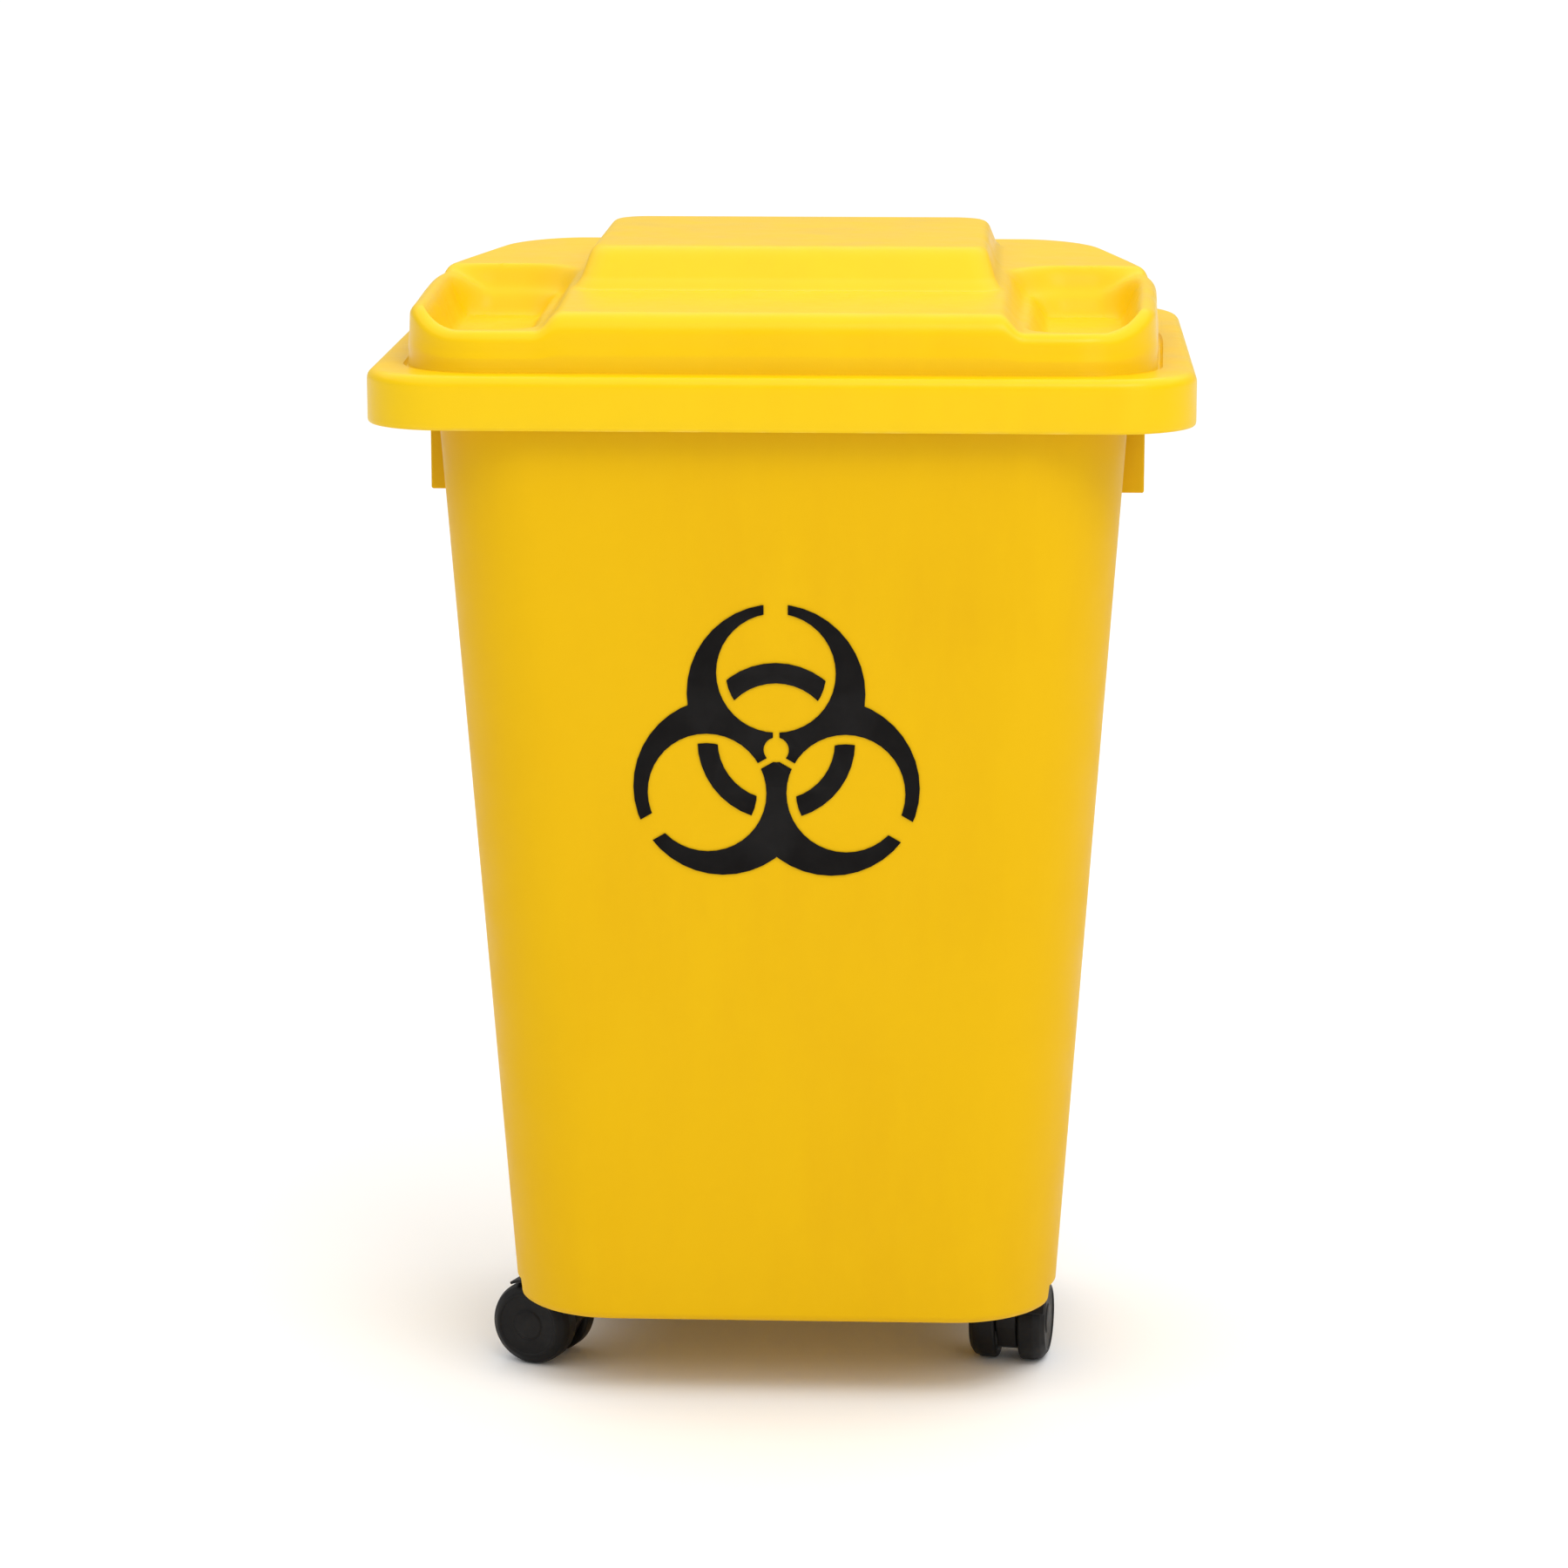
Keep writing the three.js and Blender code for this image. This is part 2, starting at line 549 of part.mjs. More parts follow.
/** The disc of one lobe, which may be a little smaller than the circle that it fills. */
function lobeDisc({ radius, reach, rise }, degrees, margin = 0) {
  const [x, y] = polar(reach, degrees);
  return disc(radius - margin, x, y + rise);
}

/** The horned arm that lies between two lobes, pointing in the given direction. */
function makeArm(degrees) {
  const circles = (circle) => LOBES.map((lobe) => lobeDisc(circle, lobe));
  const gaps = LOBES.map((lobe) => bar(TIP_GAP, INNER_CIRCLE.reach, 40, lobe));
  const slits = LOBES.map((lobe) => bar(SLIT, 0, 8, lobe));
  const holes = [...circles(INNER_CIRCLE), ...gaps, ...slits, disc(HOLE.radius, 0, HOLE.rise)];
  const horns = cut(join(...circles(OUTER_CIRCLE)), ...holes);
  const [x, y] = polar(12 * SYMBOL_UNIT, degrees);
  const distance = (arm) => {
    const { min, max } = arm.boundingBox();
    return Math.hypot((min[0] + max[0]) / 2 - x, (min[1] + max[1]) / 2 - y);
  };
  const nearest = (best, arm) => (distance(arm) < distance(best) ? arm : best);
  return horns.decompose().reduce(nearest).scale([1, SYMBOL_STRETCH, 1]);
}

/** The stretch of the ring that shows inside one lobe. */
function makeArc(degrees) {
  const ring = cut(disc(RING.outer, 0, RING.rise), disc(RING.inner, 0, RING.rise));
  return ring.intersect(lobeDisc(INNER_CIRCLE, degrees, ARC_GAP)).scale([1, SYMBOL_STRETCH, 1]);
}

// ---------------------------------------------------------------- assembly
const bin = new THREE.Group();

function add(parent, name, body, material) {
  const mesh = new THREE.Mesh(surface(body), material());
  mesh.name = name;
  parent.add(mesh);
  return mesh;
}

add(bin, 'tub', makeTub(), yellowPlastic);
add(bin, 'lid', makeLid(), lidPlastic);

for (const [name, side] of SIDES) {
  const pin = new THREE.Group();
  pin.position.set(side * HINGE_X, PIVOT.y, PIVOT.z);
  pin.rotation.z = side > 0 ? 0 : Math.PI;
  add(pin, `hinge_pin_${name}`, makePin(), blackNylon);
  add(pin, `hinge_pin_cap_${name}`, makePinCap(), blackNylon);
  bin.add(pin);
}

const wallLean = Math.atan2(BASE.front - MOUTH.front, TUB_TOP - TUB_BOTTOM);
const share = (SYMBOL_Z - TUB_BOTTOM) / (TUB_TOP - TUB_BOTTOM);
const symbol = new THREE.Group();
symbol.position.set(SYMBOL_X, THREE.MathUtils.lerp(BASE.front, MOUTH.front, share) - GAP, SYMBOL_Z);
symbol.rotation.x = Math.PI / 2 + wallLean;
[['upper_left', 150], ['lower', 270], ['upper_right', 30]].forEach(([name, degrees]) =>
  add(symbol, `trefoil_arm_${name}`, makeArm(degrees), blackFilm));
[['top', 90], ['left', 210], ['right', 330]].forEach(([name, degrees]) =>
  add(symbol, `trefoil_arc_${name}`, makeArc(degrees), blackFilm));
bin.add(symbol);

for (const { name, x, y, heading } of CASTERS) {
  const fixed = new THREE.Group();
  fixed.position.set(x, y, 0);
  add(fixed, `caster_sleeve_${name}`, makeSleeve(), whiteNylon);
  add(fixed, `caster_stem_${name}`, makeStem(), steel);
  bin.add(fixed);

  const swivel = new THREE.Group();
  swivel.position.set(x, y, 0);
  swivel.rotation.z = THREE.MathUtils.degToRad(heading);
  add(swivel, `caster_hood_${name}`, makeHood(), blackNylon);
  const hub = new THREE.Group();
  hub.position.set(-TRAIL, 0, WHEEL_RADIUS);
  add(hub, `caster_axle_${name}`, makeAxle(), steel);
  add(hub, `caster_wheel_a_${name}`, makeWheel(), wheelPlastic);
  const other = add(hub, `caster_wheel_b_${name}`, makeWheel(), wheelPlastic);
  other.rotation.z = Math.PI;
  swivel.add(hub);
  bin.add(swivel);
}

export default bin;
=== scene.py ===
"""A waste bin in yellow moulded polyethylene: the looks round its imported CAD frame.

The tub and the lid are rebuilt as smooth thin shells that stand for the faceted CAD ones, and
so are the casters' parts and the hinge pins. Only the sign's black film is shown as the CAD has
it. Dimensions are in millimetres, and the meshes are made in metres. Front is -Y, up is +Z.
"""

import json
import math

import bmesh
import bpy
import numpy as np
from mathutils import Matrix, Vector

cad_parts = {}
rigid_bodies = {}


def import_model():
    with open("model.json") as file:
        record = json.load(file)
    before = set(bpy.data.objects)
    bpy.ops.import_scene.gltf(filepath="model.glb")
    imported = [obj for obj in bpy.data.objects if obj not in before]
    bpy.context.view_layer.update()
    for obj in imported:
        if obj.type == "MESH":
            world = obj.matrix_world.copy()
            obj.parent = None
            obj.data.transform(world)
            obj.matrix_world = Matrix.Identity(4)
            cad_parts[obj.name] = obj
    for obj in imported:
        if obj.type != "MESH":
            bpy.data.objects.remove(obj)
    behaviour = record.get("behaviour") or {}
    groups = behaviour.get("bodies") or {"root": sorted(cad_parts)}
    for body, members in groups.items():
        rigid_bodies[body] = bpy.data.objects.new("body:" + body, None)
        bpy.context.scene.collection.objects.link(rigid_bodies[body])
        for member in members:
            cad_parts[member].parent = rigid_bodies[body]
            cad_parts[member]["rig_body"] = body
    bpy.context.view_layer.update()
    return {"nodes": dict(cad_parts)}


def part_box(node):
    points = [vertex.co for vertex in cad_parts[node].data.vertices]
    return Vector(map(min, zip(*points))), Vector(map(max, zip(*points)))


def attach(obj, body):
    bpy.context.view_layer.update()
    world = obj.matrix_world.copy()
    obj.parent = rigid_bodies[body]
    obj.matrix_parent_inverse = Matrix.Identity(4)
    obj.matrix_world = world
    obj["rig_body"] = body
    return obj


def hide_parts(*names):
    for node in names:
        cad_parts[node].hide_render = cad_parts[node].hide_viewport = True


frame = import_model()

MM = 0.001

# ------------------------------------------------------------------ camera
CAMERA_AZIMUTH = 2.5  # degrees to the right of straight in front
CAMERA_ELEVATION = 12.0
CAMERA_DISTANCE = 2.9
CAMERA_LENS = 111.97
CAMERA_TARGET = Vector((-0.00466, -0.012, 0.34009))

azimuth, elevation = math.radians(CAMERA_AZIMUTH), math.radians(CAMERA_ELEVATION)
towards_camera = Vector((
    math.sin(azimuth) * math.cos(elevation),
    -math.cos(azimuth) * math.cos(elevation),
    math.sin(elevation),
))
camera = bpy.data.objects.new("camera", bpy.data.cameras.new("camera"))
camera.data.lens = CAMERA_LENS
camera.data.sensor_width = 36
camera.location = CAMERA_TARGET + CAMERA_DISTANCE * towards_camera
camera.rotation_mode = "QUATERNION"
camera.rotation_quaternion = (-towards_camera).to_track_quat("-Z", "Y")
bpy.context.scene.collection.objects.link(camera)
bpy.context.scene.camera = camera


# ------------------------------------------------------------------ dimensions, mm
def box_mm(node):
    low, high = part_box(node)
    return low / MM, high / MM


lid_low, lid_high = box_mm("lid")
tub_low, tub_high = box_mm("tub")


class Plan:
    """A rectangle in plan with rounded corners, the same on the left as on the right."""

    def __init__(self, half, front, back, front_radius, back_radius):
        self.half, self.front, self.back = half, front, back
        self.front_radius, self.back_radius = front_radius, back_radius

    def values(self):
        return np.array([self.half, self.front, self.back, self.front_radius, self.back_radius])

    def inset(self, by):
        return Plan(
            self.half - by, self.front + by, self.back - by,
            max(self.front_radius - by, 1.5), max(self.back_radius - by, 1.5),
        )

    def towards(self, other, share):
        return Plan(*(self.values() * (1 - share) + other.values() * share))


# Lid: a skirt with a ledge on it, a raised platform with two low front corners, and a crown
SHELL = 3.0  # its wall
SKIRT = Plan(lid_high.x, lid_low.y, 178, 45, 64)
SKIRT_BOTTOM, SKIRT_TOP = 577, 607
SKIRT_EDGE = 6  # rounding of its upper edge
PLATFORM = Plan(208.5, -188, 171, 46, 48)
PLATFORM_TOP = 639.5  # at its front
PLATFORM_DRAFT = 1
PLATFORM_RISE = 7.6  # the top is this much higher at the back
BRINK, BRINK_MORE = 6.5, 5.5  # rounding of its upper edge, and how much wider it is in front
BRINK_FRONT, BRINK_BLEND = -60, 60  # it widens from there forwards, over that length
BRINK_REACH = 13.0  # an inset beyond the widest rounding, to measure the rounding against
BEAD, BEAD_SHARE, BEAD_SPREAD = 0.5, 0.35, 0.14  # a slight swelling low on its wall
FOOT_RISE, FOOT_MARGIN = 3, 6.6  # its wall starts so high, and its foot keeps off the back edge
GROOVE_BACK, GROOVE_BLEND = 150, 50  # a groove round its foot ends there, over that length
FLARE_START, FLARE = -142, 0.0002  # behind its front corners the platform widens
TAPER_START, TAPER, TAPER_EASE = 15, 0.0013, 24  # and behind its middle it narrows
CROWN = Plan(120, -84, 139, 14, 20)
CROWN_TOP = lid_high.z
CROWN_SIDE_LEAN, CROWN_FRONT_LEAN, CROWN_BACK_LEAN = 7, 26, 10.5
CROWN_FOOT, CROWN_EDGE = 6, 5  # rounding at its foot and at its upper edge
CORNER_INNER, CORNER_BACK, CORNER_RADIUS, CORNER_SLOPE = 134, 22, 26, 13  # low front corners
SIDE_RIM, FRONT_RIM, SCOOP_FLOOR = 640.5, 629.5, 616  # heights along the scoop in such a corner
RIM_CLIMB_FROM, RIM_CLIMB = 176, 26  # where the front rim climbs to the side rim, and how long
SCOOP_INNER, SCOOP_BACK, SCOOP_RADIUS, SCOOP_SLOPE = 136, 22, 24, 13
SCOOP_RIM_WIDTH, SCOOP_LIP = 10.5, 1.5  # the scoop sinks from a lip's width outside its edge

# Tub: a tapered body with a flange round its mouth and a grip on each side
WALL = 3.5
TUB_BOTTOM, TUB_FLOOR, TUB_TOP = tub_low.z, tub_low.z + 4, tub_high.z
SOLE_EDGE, FLOOR_EDGE = 6, 8  # rounding round its bottom, outside and inside
BASE = Plan(158.2, -147, 128, 60, 60)
MOUTH = Plan(194.8, -194, 160, 58, 76)
FLANGE = Plan(221, -199, 172, 40, 58)
FLANGE_THICK, FLANGE_EDGE, FLANGE_LIP_BOTTOM = 3, 3, 582
GRIP_OUTER, GRIP_THICK, GRIP_BOTTOM, GRIP_HALF_LENGTH = 204, 3, 527, 85
FINGER_INNER, FINGER_HALF_LENGTH, FINGER_BOTTOM, FINGER_TOP = 180, 72, 519, 592

# Hinges: a lid knuckle between two tub knuckles, with a heel that meets a web when it is open
PIVOT_Y, PIVOT_Z, KNUCKLE_RADIUS = 193.5, 573, 11.5
HINGE_X, LID_KNUCKLE, TUB_KNUCKLE = 120, 26, 12
PIN_RADIUS, CLEARANCE = 3.5, 0.3
PIN_HEAD, PIN_HEAD_THICK, PIN_HEAD_FROM, PIN_END = 6, 3, 26.6, 30
LID_OPEN, STOP_REACH, STOP_HALF_WIDTH, STOP_FACE = 105, 18.6, 4.5, 173.5

# Casters, and the pockets in the tub's bottom that their hoods turn in
WHEEL_RADIUS, TRAIL = 25, 16
WHEEL_INNER, WHEEL_OUTER = 6.8, 23
HOOD_INNER_RADIUS, HOOD_OUTER_RADIUS, HOOD_FROM, HOOD_TO = 26.3, 28, 22, 114
HOOD_WEB, HOOD_SEAT, HOOD_TOP = 12, 13, 54.2
STEM_RADIUS, STEM_BOTTOM, STEM_GROOVE, STEM_TOP = 4, 31, 77, 84.5
COLLAR_RADIUS, COLLAR_THICK = 8, 2.6
SLEEVE_RADIUS, SLEEVE_FLANGE, SLEEVE_FLANGE_THICK = 7.7, 11, 1.4
AXLE_RADIUS, AXLE_HALF, AXLE_BORE_END = 3, 16, 16.5
POCKET_RADIUS, POCKET_TOP, BOSS_RADIUS, BOSS_TOP, BORE_TOP = 46, 62, 11.5, 92, 88.5

CORNERS = ("front_left", "front_right", "rear_left", "rear_right")


# ------------------------------------------------------------------ meshes
SHARP, SHARP_PRISM, SHARP_LATHE = 35, 30, 40  # degrees between faces at which an edge is sharp
WELD = 2e-6  # metres within which vertices become one


def finished(name, vertices, faces, sharp=SHARP):
    """An object in metres from millimetre vertices, smooth but for edges over a sharp angle."""
    mesh = bpy.data.meshes.new(name)
    mesh.from_pydata((np.asarray(vertices, float) * MM).tolist(), [], [list(f) for f in faces])
    return from_mesh(name, mesh, sharp)


def from_mesh(name, mesh, sharp=SHARP):
    mesh.validate()
    b = bmesh.new()
    b.from_mesh(mesh)
    bmesh.ops.remove_doubles(b, verts=b.verts, dist=WELD)
    bmesh.ops.recalc_face_normals(b, faces=b.faces)
    b.to_mesh(mesh)
    b.free()
    mesh.shade_smooth()
    mesh.set_sharp_from_angle(angle=math.radians(sharp))
    o = bpy.data.objects.new(name, mesh)
    bpy.context.scene.collection.objects.link(o)
    return o


def applied(o):
    """The object with its modifiers made part of its mesh."""
    bpy.context.view_layer.update()
    evaluated = o.evaluated_get(bpy.context.evaluated_depsgraph_get())
    mesh = bpy.data.meshes.new_from_object(evaluated)
    name = o.name
    old = o.data
    bpy.data.objects.remove(o)
    bpy.data.meshes.remove(old)
    mesh.name = name
    return from_mesh(name, mesh)


def combine(o, others, operation):
    """The object joined with, or cut by, all of the others at once."""
    tools = bpy.data.collections.new("tools")
    bpy.context.scene.collection.children.link(tools)
    for other in others:
        tools.objects.link(other)
    boolean = o.modifiers.new("boolean", "BOOLEAN")
    boolean.operation = operation
    boolean.solver = "EXACT"
    boolean.operand_type = "COLLECTION"
    boolean.collection = tools
    result = applied(o)
    for other in others:
        bpy.data.objects.remove(other)
    bpy.data.collections.remove(tools)
    return result


CORNER_STEPS = 20
EVEN = np.linspace(0, 1, 15)  # shares of the way along a straight stretch where points lie
# Shares along the lid's sides, close together beside the scoops in its front corners
LID_SIDE = np.concatenate([np.linspace(0, 0.72, 74), np.linspace(0.72, 1, 10)[1:]])
LID_FRONT = np.concatenate([
    np.linspace(0, 0.2, 24), np.linspace(0.2, 0.8, 20)[1:-1], np.linspace(0.8, 1, 24)])
LID_BACK = np.linspace(0, 1, 31)


def ring(plan, side=EVEN, back=EVEN, front=EVEN):
    """Points round a plan, counter-clockwise from its front right corner.

    Side, back and front are the shares of the way along each straight stretch where points lie.
    """
    h, f, b, rf, rb = plan.values()
    corners = [
        (h - rf, f + rf, rf, -90, side), (h - rb, b - rb, rb, 0, back),
        (-h + rb, b - rb, rb, 90, 1 - side[::-1]), (-h + rf, f + rf, rf, 180, front),
    ]
    arcs = []
    for x, y, radius, start, _ in corners:
        turn = np.radians(np.linspace(start, start + 90, CORNER_STEPS + 1))
        arcs.append(np.column_stack([x + radius * np.cos(turn), y + radius * np.sin(turn)]))
    points = []
    for arc, after, corner in zip(arcs, arcs[1:] + arcs[:1], corners):
        share = corner[4][1:-1, None]
        points += [arc, arc[-1] * (1 - share) + after[0] * share]
    return np.vstack(points)


def lid_ring(plan):
    return ring(plan, LID_SIDE, LID_BACK, LID_FRONT)


def at_height(points, z):
    return np.column_stack([points, np.broadcast_to(z, len(points))])


def sheet_through(rings, closed_start=True, closed_end=True):
    """Vertices and faces of a surface through rings, each end closed by a fan if asked."""
    count = len(rings[0])
    vertices = np.vstack(rings)
    faces = []
    for layer in range(len(rings) - 1):
        for i in range(count):
            a, b = layer * count + i, layer * count + (i + 1) % count
            faces.append((a, b, b + count, a + count))
    for wanted, first in ((closed_start, 0), (closed_end, (len(rings) - 1) * count)):
        if wanted:
            centre = len(vertices)
            vertices = np.vstack([vertices, vertices[first:first + count].mean(axis=0)])
            faces += [(first + (i + 1) % count, first + i, centre) for i in range(count)]
    return vertices, faces


def ease(t):
    t = np.clip(t, 0, 1)
    return t * t * (3 - 2 * t)


def rounding(radius, steps, z):
    """(inset, height) pairs of a quarter round that ends flat at height z."""
    turn = np.linspace(0, math.pi / 2, steps + 1)
    return [(radius * (1 - math.cos(t)), z - radius * (1 - math.sin(t))) for t in turn]


def lathe(name, profile, segments=64):
    """A turned part: a closed profile of (radius, height) points carried round the Z axis."""
    turn = np.linspace(0, 2 * math.pi, segments, endpoint=False)
    rings = [np.column_stack([
        radius * np.cos(turn), radius * np.sin(turn), np.full(segments, float(z)),
    ]) for radius, z in profile]
    return finished(name, *sheet_through([*rings, rings[0]], False, False), SHARP_LATHE)


def softened(profile, radius, steps=3):
    """A closed profile with each convex or concave corner rounded off by a small radius."""
    result = []
    count = len(profile)
    for i in range(count):
        before, here, after = (np.array(profile[k % count], float) for k in (i - 1, i, i + 1))
        a, b = before - here, after - here
        length_a, length_b = np.linalg.norm(a), np.linalg.norm(b)
        if here[0] == 0:  # on the axis
            result.append(tuple(here))
            continue
        reach = min(radius, 0.45 * length_a, 0.45 * length_b)
        start, end = here + a / length_a * reach, here + b / length_b * reach
        for t in np.linspace(0, 1, steps + 1):
            result.append(tuple((1 - t) ** 2 * start + 2 * t * (1 - t) * here + t * t * end))
    return result


def prism(name, points, x0, x1, bevel=0.0):
    """An outline in Y and Z carried along X, with its edges rounded."""
    b = bmesh.new()
    verts = [b.verts.new((x0 * MM, y * MM, z * MM)) for y, z in points]
    face = b.faces.new(verts)
    carried = bmesh.ops.extrude_face_region(b, geom=[face])
    moved = [v for v in carried["geom"] if isinstance(v, bmesh.types.BMVert)]
    bmesh.ops.translate(b, verts=moved, vec=((x1 - x0) * MM, 0, 0))
    if bevel:
        bmesh.ops.bevel(
            b, geom=list(b.edges), offset=bevel * MM, segments=3, profile=0.5,
            affect="EDGES", clamp_overlap=True)
    mesh = bpy.data.meshes.new(name)
    b.to_mesh(mesh)
    b.free()
    return from_mesh(name, mesh, SHARP_PRISM)


def block(name, x0, x1, y0, y1, z0, z1, bevel=0.0):
    return prism(name, [(y0, z0), (y1, z0), (y1, z1), (y0, z1)], x0, x1, bevel)


def cylinder_x(name, radius, x0, x1, y, z, segments=48):
    turn = np.linspace(0, 2 * math.pi, segments, endpoint=False)
    points = [(y + radius * math.cos(t), z + radius * math.sin(t)) for t in turn]
    return prism(name, points, x0, x1)


def cylinder_z(name, radius, z0, z1, x, y, segments=64):
    o = lathe(name, [(0, z0), (radius, z0), (radius, z1), (0, z1)], segments)
    o.data.transform(Matrix.Translation((x * MM, y * MM, 0)))
    return o


# ------------------------------------------------------------------ lid
def platform_width(y):
    """The platform's width there, as a share of its plan's."""
    def behind(start):
        return 0.5 * (y - start + np.sqrt((y - start) ** 2 + TAPER_EASE ** 2))
    return 1 + FLARE * behind(FLARE_START) - (FLARE + TAPER) * behind(TAPER_START)


def narrowed(points):
    """Plan points of the platform with its sides bent: widest at the middle."""
    return np.column_stack([points[:, 0] * platform_width(points[:, 1]), points[:, 1]])


def corner_distance(x, y, inner, back, radius):
    """Signed distance to a low front corner, which lies outside inner and in front of back."""
    qx, qy = inner - np.abs(x) + radius, y - back + radius
    outside = np.hypot(np.maximum(qx, 0), np.maximum(qy, 0))
    return outside + np.minimum(np.maximum(qx, qy), 0) - radius


def scoop_depth(x, y):
    """How far inside the rim of a scoop a point is, from its nearest edge."""
    inner, outer = SCOOP_INNER, PLATFORM.half - SCOOP_RIM_WIDTH
    front, back = PLATFORM.front + SCOOP_RIM_WIDTH, SCOOP_BACK
    qx = np.abs(np.abs(x) - (inner + outer) / 2) - (outer - inner) / 2 + SCOOP_RADIUS
    qy = np.abs(y - (front + back) / 2) - (back - front) / 2 + SCOOP_RADIUS
    outside = np.hypot(np.maximum(qx, 0), np.maximum(qy, 0))
    return SCOOP_RADIUS - outside - np.minimum(np.maximum(qx, qy), 0)


def unbent(points):
    """X and Y of points on the platform, as if its sides were straight."""
    return points[:, 0] / platform_width(points[:, 1]), points[:, 1]


def out_of_corner(x, y):
    """From 0 in a low front corner to 1 on the platform's full height."""
    distance = corner_distance(x, y, CORNER_INNER, CORNER_BACK, CORNER_RADIUS)
    return ease(distance / CORNER_SLOPE)


def platform_height(points):
    """The platform's top: it rises to the back, and steps down to the scooped front corners."""
    x, y = unbent(points)
    top = PLATFORM_TOP + PLATFORM_RISE * (y - PLATFORM.front) / (PLATFORM.back - PLATFORM.front)
    rim = FRONT_RIM + (SIDE_RIM - FRONT_RIM) * ease((np.abs(x) - RIM_CLIMB_FROM) / RIM_CLIMB)
    sunk = ease((scoop_depth(x, y) + SCOOP_LIP) / SCOOP_SLOPE)
    low = rim + (SCOOP_FLOOR - rim) * sunk
    return low + (top - low) * out_of_corner(x, y)


def brink_radius(points):
    """Rounding of the platform's upper edge, which is wide along the front."""
    x, y = unbent(points)
    return BRINK + BRINK_MORE * out_of_corner(x, y) * ease((BRINK_FRONT - y) / BRINK_BLEND)


def platform_foot(by):
    """Ring points round the platform's foot, kept on the ledge where it is narrow at the back."""
    plan = PLATFORM.inset(by)
    plan.back = min(plan.back, SKIRT.back - FOOT_MARGIN)
    return narrowed(lid_ring(plan))


def skirt_rings():
    """The skirt's outer face, the ledge, and a groove round the foot of the platform."""
    rings = [at_height(lid_ring(SKIRT.inset(by)), z) for by, z in (
        (0.9, SKIRT_BOTTOM), (0.3, SKIRT_BOTTOM + 0.6), (0, SKIRT_BOTTOM + 2))]
    for z in np.linspace(SKIRT_BOTTOM + 8, SKIRT_TOP - SKIRT_EDGE, 5):
        rings.append(at_height(lid_ring(SKIRT), z))
    for by, z in rounding(SKIRT_EDGE, 7, SKIRT_TOP)[1:]:
        rings.append(at_height(lid_ring(SKIRT.inset(by)), z))
    outer, inner = lid_ring(SKIRT.inset(SKIRT_EDGE)), platform_foot(-3)
    for share in np.linspace(0, 1, 5)[1:]:
        rings.append(at_height(outer * (1 - share) + inner * share, SKIRT_TOP))
    # The groove is shallow, and runs out where the ledge is narrow
    for by, drop, rise in ((-2.2, 0.9, 0.1), (-1.2, 1.4, 0.2), (-0.4, 1.0, 0.5), (-0.1, 0, 1.2)):
        points = platform_foot(by)
        grooved = ease((GROOVE_BACK - points[:, 1]) / GROOVE_BLEND)
        rings.append(at_height(points, SKIRT_TOP + rise - (drop + rise) * grooved))
    rings.append(at_height(platform_foot(0), SKIRT_TOP + FOOT_RISE))
    return rings


def platform_rings():
    """The platform's wall, its rounded upper edge, and its top as far as the crown's foot."""
    wall = narrowed(lid_ring(PLATFORM.inset(PLATFORM_DRAFT)))
    inner = narrowed(lid_ring(PLATFORM.inset(PLATFORM_DRAFT + BRINK_REACH)))
    radius = brink_radius(wall)
    brink = wall + (inner - wall) * radius[:, None] / BRINK_REACH
    height = platform_height(brink)
    rings = []
    for share in np.linspace(0.15, 1, 7):
        bead = BEAD * math.exp(-((share - BEAD_SHARE) / BEAD_SPREAD) ** 2)
        points = narrowed(lid_ring(PLATFORM.inset(PLATFORM_DRAFT * share - bead)))
        z = (SKIRT_TOP + FOOT_RISE) * (1 - share) + (height - radius) * share
        rings.append(at_height(points, z))
    for turn in np.linspace(0, math.pi / 2, 9)[1:]:
        points = wall + (brink - wall) * (1 - math.cos(turn))
        rings.append(at_height(points, height - radius * (1 - math.sin(turn))))
    foot = lid_ring(CROWN.inset(-CROWN_FOOT))
    for share in np.linspace(0, 1, 50)[1:]:
        points = brink + (foot - brink) * share
        rings.append(at_height(points, platform_height(points)))
    return rings


def crown_rings():
    """The crown: a concave rounding at its foot, leaning sides, an edge, and a flat top."""
    base = lid_ring(CROWN)
    base_height = platform_height(base)
    top = Plan(
        CROWN.half - CROWN_SIDE_LEAN, CROWN.front + CROWN_FRONT_LEAN,
        CROWN.back - CROWN_BACK_LEAN, CROWN.front_radius, CROWN.back_radius)
    rings = []
    for by, rise in ((-3.4, 0.25), (-1.6, 0.9), (-0.4, 2.2)):
        rings.append(at_height(lid_ring(CROWN.inset(by)), base_height + rise))
    for share in np.linspace(0.22, 0.78, 7):
        points = base * (1 - share) + lid_ring(top) * share
        rings.append(at_height(points, base_height * (1 - share) + CROWN_TOP * share))
    shoulder = rings[-1]
    knee = at_height(lid_ring(top.inset(0.2)), CROWN_TOP - 0.2)
    brow = at_height(lid_ring(top.inset(CROWN_EDGE)), CROWN_TOP)
    for t in np.linspace(0, 1, 6)[1:]:
        rings.append((1 - t) ** 2 * shoulder + 2 * t * (1 - t) * knee + t * t * brow)
    middle = Plan(1.7, 32, 36, 1.6, 1.6)  # a small ring, where the top closes
    for share in np.linspace(0, 1, 16)[1:]:
        rings.append(at_height(lid_ring(top.inset(CROWN_EDGE).towards(middle, share)), CROWN_TOP))
    return rings


